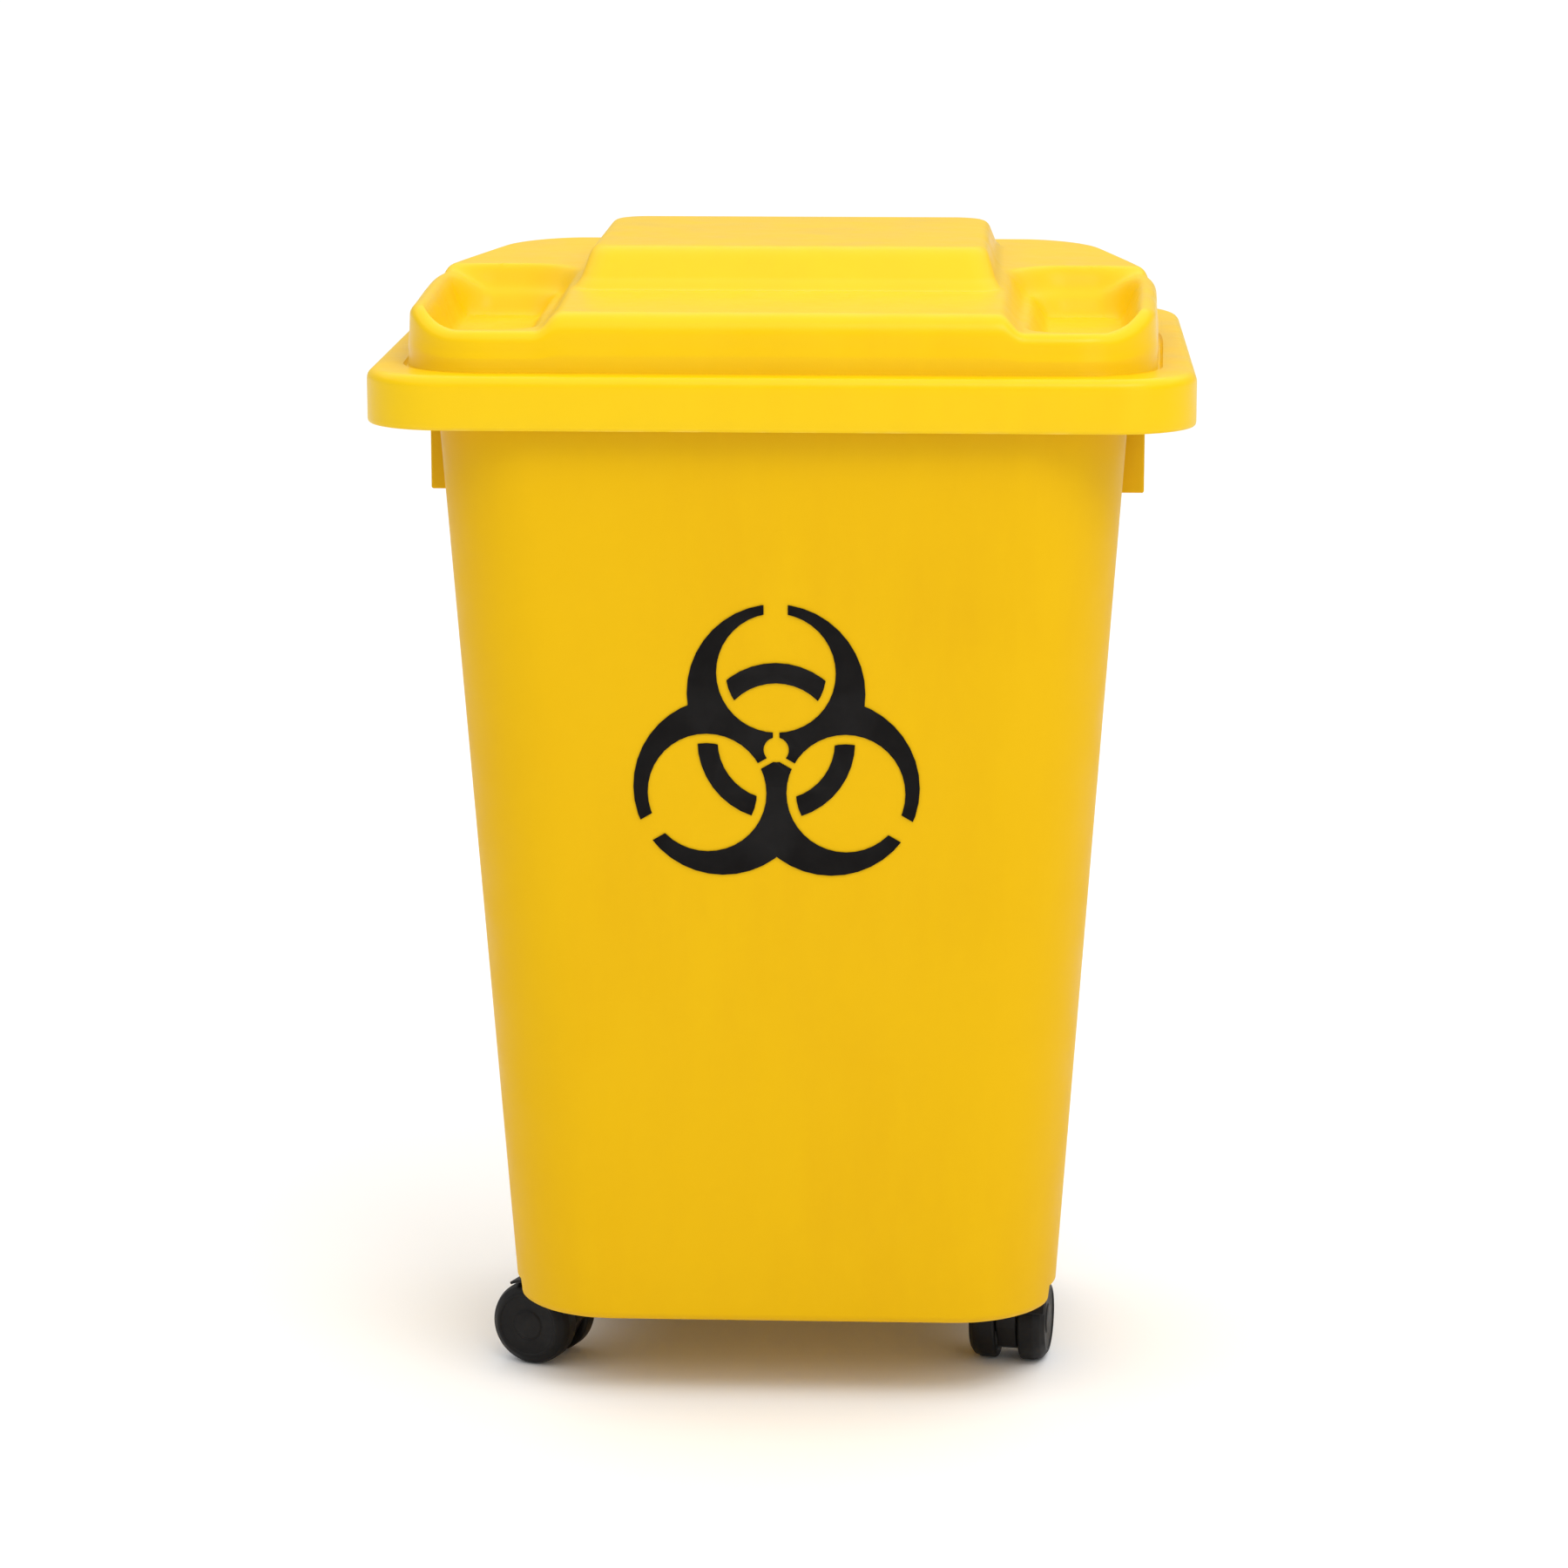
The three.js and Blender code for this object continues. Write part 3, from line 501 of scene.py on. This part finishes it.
def make_lid_hinge(name, centre):
    """The lid's half of a hinge: a knuckle, the arm that carries it, and the stop heel."""
    x0, x1 = centre - LID_KNUCKLE / 2, centre + LID_KNUCKLE / 2
    back = SKIRT.back
    arm = [
        (back - 1.5, SKIRT_BOTTOM + 1), (PIVOT_Y, PIVOT_Z - 2),
        (PIVOT_Y + KNUCKLE_RADIUS - 0.6, PIVOT_Z + 2), (back + 10, SKIRT_TOP - 10),
        (back - 1.5, SKIRT_TOP - 8),
    ]
    angle = math.radians(LID_OPEN)
    along, across = (-math.cos(angle), -math.sin(angle)), (math.sin(angle), -math.cos(angle))
    heel = [(
        PIVOT_Y + along[0] * reach + across[0] * width,
        PIVOT_Z + along[1] * reach + across[1] * width,
    ) for reach, width in (
        (4, -STOP_HALF_WIDTH), (STOP_REACH, -STOP_HALF_WIDTH),
        (STOP_REACH, STOP_HALF_WIDTH), (4, STOP_HALF_WIDTH))]
    knuckle = cylinder_x(name, KNUCKLE_RADIUS, x0, x1, PIVOT_Y, PIVOT_Z)
    carried = [prism("arm", arm, x0, x1, 0.8), prism("heel", heel, x0 + 3, x1 - 3, 0.8)]
    return combine(combine(knuckle, carried, "UNION"), [pin_bore(centre)], "DIFFERENCE")


def pin_bore(centre):
    return cylinder_x(
        "bore", PIN_RADIUS + CLEARANCE, centre - 40, centre + 40, PIVOT_Y, PIVOT_Z, 32)


def make_lid():
    rings = skirt_rings() + platform_rings() + crown_rings()
    o = finished("lid_shell", *sheet_through(rings, False, True))
    solidify = o.modifiers.new("wall", "SOLIDIFY")
    solidify.thickness = SHELL * MM
    solidify.offset = -1
    solidify.use_even_offset = True
    return applied(o)


# ------------------------------------------------------------------ tub
def tub_plan(z):
    return BASE.towards(MOUTH, (z - TUB_BOTTOM) / (TUB_TOP - TUB_BOTTOM))


TUB_SEED = Plan(1.7, -11, -8, 1.3, 1.3)  # a small ring in the middle, where a face closes


def tub_outside():
    """Rings of the tub's outside: under its bottom, up its wall, and over the flange."""
    rings = []
    sole = tub_plan(TUB_BOTTOM).inset(SOLE_EDGE)
    for share in np.linspace(0, 1, 8):
        rings.append(at_height(ring(TUB_SEED.towards(sole, share)), TUB_BOTTOM))
    for turn in np.linspace(0, math.pi / 2, 7)[1:]:
        z = TUB_BOTTOM + SOLE_EDGE * (1 - math.cos(turn))
        rings.append(at_height(ring(tub_plan(z).inset(SOLE_EDGE * (1 - math.sin(turn)))), z))
    under = TUB_TOP - FLANGE_THICK
    for z in np.linspace(TUB_BOTTOM + SOLE_EDGE, under - 4, 16)[1:]:
        rings.append(at_height(ring(tub_plan(z)), z))
    hollow = FLANGE.inset(FLANGE_THICK)
    wall = tub_plan(under)
    for by, drop in ((0, 2), (-0.8, 0.8), (-2, 0)):
        rings.append(at_height(ring(wall.inset(by)), under - drop))
    rings.append(at_height(ring(wall.inset(-2).towards(hollow.inset(1.5), 0.5)), under))
    for by, z in (
        (1.5, under), (0.4, under - 0.4), (0, under - 1.5), (0, FLANGE_LIP_BOTTOM + 0.6),
        (-0.6, FLANGE_LIP_BOTTOM), (0.6 - FLANGE_THICK, FLANGE_LIP_BOTTOM),
        (-FLANGE_THICK, FLANGE_LIP_BOTTOM + 0.6), (-FLANGE_THICK, TUB_TOP - FLANGE_EDGE),
    ):
        rings.append(at_height(ring(hollow.inset(by)), z))
    for by, z in rounding(FLANGE_EDGE, 5, TUB_TOP)[1:]:
        rings.append(at_height(ring(FLANGE.inset(by)), z))
    for share in np.linspace(0, 1, 4)[1:]:
        plan = FLANGE.inset(FLANGE_EDGE).towards(TUB_SEED, share)
        rings.append(at_height(ring(plan), TUB_TOP))
    return rings


def tub_hollow():
    """Rings of the space in the tub, from the middle of its floor to above its mouth."""
    rings = []
    sole = tub_plan(TUB_FLOOR).inset(WALL + FLOOR_EDGE)
    for share in np.linspace(0, 1, 8):
        rings.append(at_height(ring(TUB_SEED.towards(sole, share)), TUB_FLOOR))
    for turn in np.linspace(0, math.pi / 2, 7)[1:]:
        z = TUB_FLOOR + FLOOR_EDGE * (1 - math.cos(turn))
        by = WALL + FLOOR_EDGE * (1 - math.sin(turn))
        rings.append(at_height(ring(tub_plan(z).inset(by)), z))
    for z in np.linspace(TUB_FLOOR + FLOOR_EDGE, TUB_TOP - 2.5, 16)[1:]:
        rings.append(at_height(ring(tub_plan(z).inset(WALL)), z))
    mouth = tub_plan(TUB_TOP).inset(WALL)
    for by, rise in ((-0.2, -1), (-0.8, -0.3), (-2, 0), (-2, 2)):
        rings.append(at_height(ring(mouth.inset(by)), TUB_TOP + rise))
    rings.append(at_height(ring(TUB_SEED), TUB_TOP + 2))
    return rings


def caster_place(corner):
    """The swivel axis in plan, from the CAD stem."""
    low, high = box_mm(f"caster_stem_{corner}")
    return (low.x + high.x) / 2, (low.y + high.y) / 2


def tub_bracket_parts(centre):
    """The tub's half of a hinge: two arms with knuckles, and the web that stops the heel."""
    inner = LID_KNUCKLE / 2 + 1
    outer = inner + TUB_KNUCKLE
    root = MOUTH.back - 8
    arm = [
        (root, PIVOT_Z - 40), (PIVOT_Y, PIVOT_Z - KNUCKLE_RADIUS), (PIVOT_Y, PIVOT_Z),
        (root, PIVOT_Z),
    ]
    parts = [block(
        "web", centre - outer, centre + outer, root, STOP_FACE, PIVOT_Z - 14, PIVOT_Z, 0.6)]
    for a, b in ((-outer, -inner), (inner, outer)):
        parts.append(prism("arm", arm, centre + a, centre + b, 0.6))
        parts.append(cylinder_x(
            "knuckle", KNUCKLE_RADIUS, centre + a, centre + b, PIVOT_Y, PIVOT_Z))
    return parts


def on_side(side, inner, outer):
    """An extent along X that is given for the right, on either side."""
    return (inner, outer) if side > 0 else (-outer, -inner)


def finger_space(side, grown, bevel):
    """The space behind a grip, open below, or a larger block that leaves a wall round it."""
    xs = on_side(side, FINGER_INNER - grown, GRIP_OUTER - GRIP_THICK)
    reach = FINGER_HALF_LENGTH + grown
    return block(
        "finger", *xs, -reach, reach, FINGER_BOTTOM - grown, FINGER_TOP + grown / 2, bevel)


def make_tub():
    """The outside with its brackets and grips, less the hollow, whose own parts stay solid."""
    inside, taken = [], [pin_bore(-HINGE_X), pin_bore(HINGE_X)]
    added = tub_bracket_parts(-HINGE_X) + tub_bracket_parts(HINGE_X)
    for side in (-1, 1):
        added.append(block(
            "grip", *on_side(side, FINGER_INNER + 2, GRIP_OUTER), -GRIP_HALF_LENGTH,
            GRIP_HALF_LENGTH, GRIP_BOTTOM, TUB_TOP - 1, 1.2))
        inside.append(finger_space(side, WALL, 3))
        taken.append(finger_space(side, 0, 2))
    for corner in CORNERS:
        x, y = caster_place(corner)
        inside.append(cylinder_z(
            "dome", POCKET_RADIUS + WALL, TUB_BOTTOM, POCKET_TOP + WALL, x, y))
        inside.append(cylinder_z("boss", BOSS_RADIUS, TUB_BOTTOM, BOSS_TOP, x, y, 40))
        taken.append(cylinder_z("pocket", POCKET_RADIUS, TUB_BOTTOM - 10, POCKET_TOP, x, y))
        taken.append(cylinder_z(
            "bore", SLEEVE_RADIUS + CLEARANCE, POCKET_TOP - 1, BORE_TOP, x, y, 32))
    hollow = combine(finished("hollow", *sheet_through(tub_hollow())), inside, "DIFFERENCE")
    outside = combine(finished("tub_shell", *sheet_through(tub_outside())), added, "UNION")
    return combine(outside, [hollow, *taken], "DIFFERENCE")


# ------------------------------------------------------------------ casters and hinge pins
# A caster's own axes: Z up its swivel axis, with the wheels trailing towards -X.
ALONG_X = Matrix.Rotation(math.radians(90), 4, "Y")
ALONG_Y = Matrix.Rotation(math.radians(-90), 4, "X")
HALF_TURN = Matrix.Rotation(math.pi, 4, "Z")


def shifted(x, y, z):
    return Matrix.Translation((x * MM, y * MM, z * MM))


def copied(o, name, matrix):
    """Another object of the same mesh, carried to a place."""
    mesh = o.data.copy()
    mesh.transform(matrix)
    made = bpy.data.objects.new(name, mesh)
    bpy.context.scene.collection.objects.link(made)
    return made


def turned(name, profile, radius=0.4, segments=64):
    return lathe(name, softened(profile, radius), segments)


def caster_matrix(corner):
    """Carries a caster from its own axes to its place, heading from its axle to its stem."""
    x, y = caster_place(corner)
    axle = box_mm(f"caster_axle_{corner}")
    ahead = Vector((x, y)) - Vector(((axle[0].x + axle[1].x) / 2, (axle[0].y + axle[1].y) / 2))
    return shifted(x, y, 0) @ Matrix.Rotation(math.atan2(ahead.y, ahead.x), 4, "Z")


def make_wheel():
    """A wheel about +Z, outer face up: crowned tread, rim groove, dished face, hub cap."""
    return turned("wheel", [
        (AXLE_RADIUS + CLEARANCE, WHEEL_INNER), (9, WHEEL_INNER), (9.8, WHEEL_INNER + 2.4),
        (19.6, WHEEL_INNER + 2.4), (20.4, WHEEL_INNER), (WHEEL_RADIUS - 1, WHEEL_INNER),
        (WHEEL_RADIUS, WHEEL_INNER + 1.2), (WHEEL_RADIUS, WHEEL_OUTER - 7),
        (WHEEL_RADIUS - 1.4, WHEEL_OUTER - 3), (WHEEL_RADIUS - 5, WHEEL_OUTER - 0.3),
        (WHEEL_RADIUS - 6.5, WHEEL_OUTER), (WHEEL_RADIUS - 7.3, WHEEL_OUTER - 0.9),
        (WHEEL_RADIUS - 8.1, WHEEL_OUTER - 0.9), (9.2, WHEEL_OUTER - 1.5),
        (8.4, WHEEL_OUTER - 0.5), (0, WHEEL_OUTER - 0.1), (0, AXLE_BORE_END),
        (AXLE_RADIUS + CLEARANCE, AXLE_BORE_END),
    ], 0.7, 72)


def hood_plate(points, width, bevel):
    """An outline in the caster's X and Z carried across it, half to each side."""
    o = prism("plate", [(-x, z) for x, z in points], -width / 2, width / 2, bevel)
    o.data.transform(Matrix.Rotation(math.radians(90), 4, "Z"))
    return o


def make_hood():
    """A web between the wheels, a mudguard over them and a round seat for the stem."""
    def at(x, z):
        return -TRAIL + x, WHEEL_RADIUS + z

    def arc(radius, start, end):
        turns = np.radians(np.linspace(start, end, 25))
        return [at(radius * math.cos(t), radius * math.sin(t)) for t in turns]
    guard = arc(HOOD_OUTER_RADIUS, HOOD_FROM, HOOD_TO) + arc(HOOD_INNER_RADIUS, HOOD_TO, HOOD_FROM)
    web = arc(HOOD_OUTER_RADIUS - 0.5, HOOD_FROM, HOOD_TO)
    web += [at(-21, 4), at(-17, -13), at(0, -20), at(16, -14), at(24, 0)]
    seat = turned("seat", [
        (0, WHEEL_RADIUS + 25.5), (HOOD_SEAT, WHEEL_RADIUS + 25.5), (HOOD_SEAT, HOOD_TOP),
        (0, HOOD_TOP)], 0.9)
    body = combine(
        hood_plate(guard, 2 * WHEEL_OUTER, 0.5), [hood_plate(web, HOOD_WEB, 0.9), seat], "UNION")
    axle_bore = cylinder_z("bore", AXLE_RADIUS + CLEARANCE, -20, 20, 0, 0, 32)
    axle_bore.data.transform(shifted(-TRAIL, 0, WHEEL_RADIUS) @ ALONG_Y)
    stem_bore = cylinder_z("bore", STEM_RADIUS + CLEARANCE, 30, 70, 0, 0, 40)
    return combine(body, [axle_bore, stem_bore], "DIFFERENCE")


def caster_parts():
    """Name, mesh, place in the caster's axes and material of each piece of a caster."""
    sleeve_bore, seat, collar = (
        STEM_RADIUS + CLEARANCE, POCKET_TOP - CLEARANCE, HOOD_TOP + CLEARANCE)
    hub = shifted(-TRAIL, 0, WHEEL_RADIUS)
    wheel = make_wheel()
    return (
        ("sleeve", turned("sleeve", [
            (sleeve_bore, seat - SLEEVE_FLANGE_THICK), (SLEEVE_FLANGE, seat - SLEEVE_FLANGE_THICK),
            (SLEEVE_FLANGE, seat), (SLEEVE_RADIUS, seat), (SLEEVE_RADIUS, BORE_TOP - 0.5),
            (sleeve_bore, BORE_TOP - 0.5),
        ]), Matrix(), "socket_nylon"),
        ("stem", turned("stem", [
            (0, STEM_BOTTOM), (STEM_RADIUS - 0.6, STEM_BOTTOM), (STEM_RADIUS, STEM_BOTTOM + 1),
            (STEM_RADIUS, collar), (COLLAR_RADIUS, collar),
            (COLLAR_RADIUS, collar + COLLAR_THICK), (STEM_RADIUS, collar + COLLAR_THICK),
            (STEM_RADIUS, STEM_GROOVE), (STEM_RADIUS - 0.8, STEM_GROOVE + 0.6),
            (STEM_RADIUS - 0.8, STEM_GROOVE + 3), (STEM_RADIUS, STEM_GROOVE + 3.6),
            (STEM_RADIUS, STEM_TOP - 1.5), (STEM_RADIUS - 1.2, STEM_TOP), (0, STEM_TOP),
        ]), Matrix(), "zinc_steel"),
        ("hood", make_hood(), Matrix(), "caster_nylon"),
        ("axle", turned("axle", [
            (0, -AXLE_HALF), (AXLE_RADIUS, -AXLE_HALF), (AXLE_RADIUS, AXLE_HALF),
            (0, AXLE_HALF),
        ]), hub @ ALONG_Y, "zinc_steel"),
        ("wheel_a", wheel, hub @ ALONG_Y, "wheel_plastic"),
        ("wheel_b", wheel, hub @ HALF_TURN @ ALONG_Y, "wheel_plastic"),
    )


def hinge_pin_parts():
    """A headed pin and its cap along +X, about the hinge's centre."""
    head_end, cap_end = PIN_HEAD_FROM + PIN_HEAD_THICK, -PIN_END - 2
    cap_bore = PIN_RADIUS + CLEARANCE
    pin = turned("pin", [
        (0, -PIN_END), (PIN_RADIUS, -PIN_END), (PIN_RADIUS, PIN_HEAD_FROM),
        (PIN_HEAD, PIN_HEAD_FROM), (PIN_HEAD, head_end), (0, head_end)], 0.6)
    cap = turned("cap", [
        (0, cap_end), (PIN_HEAD, cap_end), (PIN_HEAD, -PIN_HEAD_FROM),
        (cap_bore, -PIN_HEAD_FROM), (cap_bore, -PIN_END - CLEARANCE),
        (0, -PIN_END - CLEARANCE)], 0.5)
    return ("hinge_pin", pin), ("hinge_pin_cap", cap)


def stands_for(o, node):
    """The object rides with a CAD node's body, in the node's place."""
    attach(o, frame["nodes"][node]["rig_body"])
    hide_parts(node)
    return o


# ------------------------------------------------------------------ materials
class Nodes:
    """A material under construction: its nodes in object coordinates, in metres."""

    def __init__(self, name):
        self.material = bpy.data.materials.new(name)
        self.material.use_nodes = True
        self.tree = self.material.node_tree
        self.shader = self.tree.nodes["Principled BSDF"]
        self.place = self.node("ShaderNodeTexCoord").outputs["Object"]

    def node(self, kind, inputs=(), **settings):
        made = self.tree.nodes.new(kind)
        for key, value in settings.items():
            setattr(made, key, value)
        for key, value in dict(inputs).items():
            if isinstance(value, bpy.types.NodeSocket):
                self.tree.links.new(value, made.inputs[key])
            else:
                made.inputs[key].default_value = value
        return made

    def noise(self, scale, detail=3, roughness=0.5, stretch=(1, 1, 1)):
        """Noise from 0 to 1, scale counts of it to a metre, stretched along an axis if asked."""
        mapped = self.node(
            "ShaderNodeMapping", {"Vector": self.place, "Scale": [scale * s for s in stretch]})
        return self.node("ShaderNodeTexNoise", {
            "Vector": mapped.outputs["Vector"], "Scale": 1.0, "Detail": detail,
            "Roughness": roughness}).outputs["Fac"]

    def ranged(self, value, low, high, to_low=0.0, to_high=1.0):
        return self.node("ShaderNodeMapRange", {
            "Value": value, "From Min": low, "From Max": high, "To Min": to_low,
            "To Max": to_high}).outputs["Result"]

    def math(self, operation, a, b):
        return self.node("ShaderNodeMath", {0: a, 1: b}, operation=operation).outputs[0]

    def mixed(self, share, a, b):
        made = self.node("ShaderNodeMix", data_type="RGBA")
        for index, value in ((0, share), (6, a), (7, b)):
            if isinstance(value, bpy.types.NodeSocket):
                self.tree.links.new(value, made.inputs[index])
            else:
                made.inputs[index].default_value = value
        return made.outputs[2]

    def bumps(self, *layers):
        """Bump from (height, distance in metres) layers, one on top of the other."""
        normal = None
        for height, distance in layers:
            inputs = {"Height": height, "Distance": distance, "Strength": 1.0}
            if normal is not None:
                inputs["Normal"] = normal
            normal = self.node("ShaderNodeBump", inputs).outputs["Normal"]
        self.tree.links.new(normal, self.shader.inputs["Normal"])

    def set(self, **values):
        for key, value in values.items():
            socket = self.shader.inputs[key.replace("_", " ")]
            if isinstance(value, bpy.types.NodeSocket):
                self.tree.links.new(value, socket)
            else:
                socket.default_value = value


def rgba(*rgb):
    return (*rgb, 1.0)


def polyethylene(name, colour, deep, rough, gloss):
    """Moulded polyethylene: cloudy pigment, faint flow marks, matt scuffs and worn edges."""
    m = Nodes(name)
    clouds = m.ranged(m.noise(7, 2), 0.3, 0.7)
    flow = m.ranged(m.noise(14, 4, 0.6, (2.5, 2.5, 0.5)), 0.35, 0.7)
    tint = m.mixed(m.math("MULTIPLY", clouds, flow), rgba(*colour), rgba(*deep))
    edges = m.ranged(m.node("ShaderNodeNewGeometry").outputs["Pointiness"], 0.52, 0.60)
    rubbed = m.math("MULTIPLY", edges, m.ranged(m.noise(55, 4), 0.45, 0.7))
    pale = [min(1.0, c * 0.9 + 0.12) for c in colour]
    tint = m.mixed(m.math("MULTIPLY", rubbed, 0.45), tint, rgba(*pale))
    scratches = m.ranged(m.noise(1, 5, 0.65, (700, 700, 22)), 0.62, 0.72)
    cross = m.ranged(m.noise(1, 5, 0.65, (24, 24, 650)), 0.66, 0.74)
    scuffed = m.math("MULTIPLY", m.math("MAXIMUM", scratches, cross), m.ranged(
        m.noise(9, 2), 0.5, 0.66))
    rough_base = m.ranged(m.noise(38, 4), 0.3, 0.7, rough - 0.05, rough + 0.06)
    rough_all = m.math("ADD", rough_base, m.math("MULTIPLY", scuffed, 0.12))
    m.set(
        Base_Color=tint, Roughness=m.math("ADD", rough_all, m.math("MULTIPLY", rubbed, 0.15)),
        Specular_IOR_Level=gloss)
    m.bumps(
        (m.noise(16, 1), 0.0009), (m.noise(1500, 2), 0.00003),
        (m.math("MULTIPLY", scuffed, -1.0), 0.00003))
    return m.material


def black_plastic(name, colour, rough, grain, depth):
    """Black nylon or rubbery plastic with a fine grain, dusty scuffs and rubbed edges."""
    m = Nodes(name)
    edges = m.ranged(m.node("ShaderNodeNewGeometry").outputs["Pointiness"], 0.53, 0.64)
    dust = m.ranged(m.noise(60, 5, 0.6), 0.5, 0.75)
    worn = m.math("MAXIMUM", m.math("MULTIPLY", edges, 0.5), m.math("MULTIPLY", dust, 0.22))
    m.set(
        Base_Color=m.mixed(worn, rgba(*colour), rgba(0.035, 0.033, 0.031)),
        Roughness=m.ranged(m.noise(110, 4), 0.3, 0.7, rough - 0.07, rough + 0.09),
        Specular_IOR_Level=0.2)
    m.bumps((m.noise(grain, 3), depth), (m.noise(grain * 3.1, 2), depth * 0.4))
    return m.material


def cut_film():
    """Black adhesive film with a faint orange-peel surface."""
    m = Nodes("black_film")
    edges = m.ranged(m.node("ShaderNodeNewGeometry").outputs["Pointiness"], 0.53, 0.7)
    m.set(
        Base_Color=m.mixed(
            m.math("MULTIPLY", m.noise(240, 4), 0.35), rgba(0.004, 0.0035, 0.0035),
            rgba(0.010, 0.008, 0.007)),
        Roughness=m.math("ADD", m.ranged(m.noise(90, 4), 0.3, 0.7, 0.36, 0.5), edges),
        Specular_IOR_Level=0.15)
    m.bumps((m.noise(650, 2), 0.00002), (m.noise(28, 2), 0.0003))
    return m.material


def zinc_plate():
    """Zinc-plated steel with fine turning marks."""
    m = Nodes("zinc_steel")
    turned_marks = m.noise(1, 3, 0.6, (90, 90, 5200))
    m.set(
        Base_Color=m.mixed(
            m.ranged(m.noise(180, 4), 0.35, 0.7), rgba(0.62, 0.63, 0.64),
            rgba(0.5, 0.5, 0.49)),
        Metallic=1.0, Roughness=m.ranged(turned_marks, 0.3, 0.7, 0.2, 0.36))
    m.bumps((turned_marks, 0.00003))
    return m.material


def natural_nylon():
    """Uncoloured nylon."""
    m = Nodes("socket_nylon")
    m.set(
        Base_Color=m.mixed(
            m.noise(150, 3), rgba(0.72, 0.69, 0.6), rgba(0.62, 0.58, 0.49)),
        Roughness=m.ranged(m.noise(300, 3), 0.3, 0.7, 0.45, 0.6))
    m.bumps((m.noise(1200, 2), 0.00003))
    return m.material


YELLOW, YELLOW_DEEP = (0.725, 0.425, 0.0), (0.70, 0.397, 0.0)
LID_YELLOW, LID_DEEP = (0.79, 0.510, 0.0), (0.77, 0.480, 0.0)
MATERIALS = {
    "tub_plastic": polyethylene("tub_plastic", YELLOW, YELLOW_DEEP, 0.46, 0.10),
    "lid_plastic": polyethylene("lid_plastic", LID_YELLOW, LID_DEEP, 0.34, 0.20),
    "pin_plastic": black_plastic("pin_plastic", (0.007, 0.0065, 0.0065), 0.42, 900, 0.00004),
    "caster_nylon": black_plastic("caster_nylon", (0.0055, 0.005, 0.005), 0.42, 700, 0.00006),
    "wheel_plastic": black_plastic("wheel_plastic", (0.005, 0.0045, 0.0045), 0.5, 420, 0.0001),
    "black_film": cut_film(), "zinc_steel": zinc_plate(), "socket_nylon": natural_nylon(),
}


def painted(o, material):
    o.data.materials.clear()
    o.data.materials.append(material)
    return o


# ------------------------------------------------------------------ pieces
stands_for(painted(make_tub(), MATERIALS["tub_plastic"]), "tub")
stands_for(painted(make_lid(), MATERIALS["lid_plastic"]), "lid")
for side, centre in (("left", -HINGE_X), ("right", HINGE_X)):
    hinge = painted(make_lid_hinge(f"lid_hinge_{side}", centre), MATERIALS["lid_plastic"])
    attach(hinge, "lid")

parts = caster_parts()
for corner in CORNERS:
    for kind, part, place, slot in parts:
        name = f"caster_{kind}_{corner}"
        made = copied(part, f"{name}_shell", caster_matrix(corner) @ place)
        stands_for(painted(made, MATERIALS[slot]), name)
for part in {part.name: part for _, part, _, _ in parts}.values():
    bpy.data.objects.remove(part)

for kind, part in hinge_pin_parts():
    for side, turn in (("left", HALF_TURN), ("right", Matrix())):
        sign = -1 if side == "left" else 1
        place = shifted(sign * HINGE_X, PIVOT_Y, PIVOT_Z) @ turn @ ALONG_X
        made = copied(part, f"{kind}_{side}_shell", place)
        stands_for(painted(made, MATERIALS["pin_plastic"]), f"{kind}_{side}")
    bpy.data.objects.remove(part)

for name, node in frame["nodes"].items():
    if name.startswith("trefoil"):
        painted(node, MATERIALS["black_film"])

# ------------------------------------------------------------------ studio
floor_noise = Nodes("studio_floor")
floor_noise.set(
    Base_Color=floor_noise.mixed(
        floor_noise.noise(3, 2), rgba(0.90, 0.90, 0.90), rgba(0.88, 0.88, 0.88)),
    Roughness=0.75, Specular_IOR_Level=0.1)
FLOOR_SIZE = 200000  # half its width, so that it reaches the horizon
floor = finished("studio_floor", *sheet_through(
    [at_height(ring(Plan(half, -half, half, half / 4, half / 4)), 0)
     for half in (FLOOR_SIZE, FLOOR_SIZE / 10)], False, True))
painted(floor, floor_noise.material)

WORLD_LIGHT = 0.44
SKY_LIGHT, SKY_SPREAD = 2.4, 120  # a broad soft light from straight above, in degrees across
world = bpy.data.worlds.new("studio")
world.use_nodes = True
world.node_tree.nodes["Background"].inputs["Color"].default_value = rgba(1, 1, 1)
world.node_tree.nodes["Background"].inputs["Strength"].default_value = WORLD_LIGHT
bpy.context.scene.world = world


def softbox(name, place, aim, size, power):
    """A rectangular light of a size in metres and a power in watts, turned to face a point."""
    light = bpy.data.lights.new(name, "AREA")
    light.shape = "RECTANGLE"
    light.size, light.size_y = size
    light.energy = power
    o = bpy.data.objects.new(name, light)
    o.location = place
    o.rotation_mode = "QUATERNION"
    o.rotation_quaternion = (Vector(aim) - Vector(place)).to_track_quat("-Z", "Y")
    bpy.context.scene.collection.objects.link(o)


sky = bpy.data.objects.new("sky_light", bpy.data.lights.new("sky_light", "SUN"))
sky.data.energy = SKY_LIGHT
sky.data.angle = math.radians(SKY_SPREAD)
bpy.context.scene.collection.objects.link(sky)
softbox("overhead", (0.1, 0.3, 2.6), (0, 0, 0.4), (2.4, 2.0), 5)
softbox("key", (0.8, -1.6, 2.6), (0, 0, 0.35), (1.4, 1.0), 22)
softbox("front_fill", (1.6, -3.0, 1.2), (0, 0, 0.35), (1.8, 1.4), 9)
bpy.context.scene.view_settings.view_transform = "Standard"
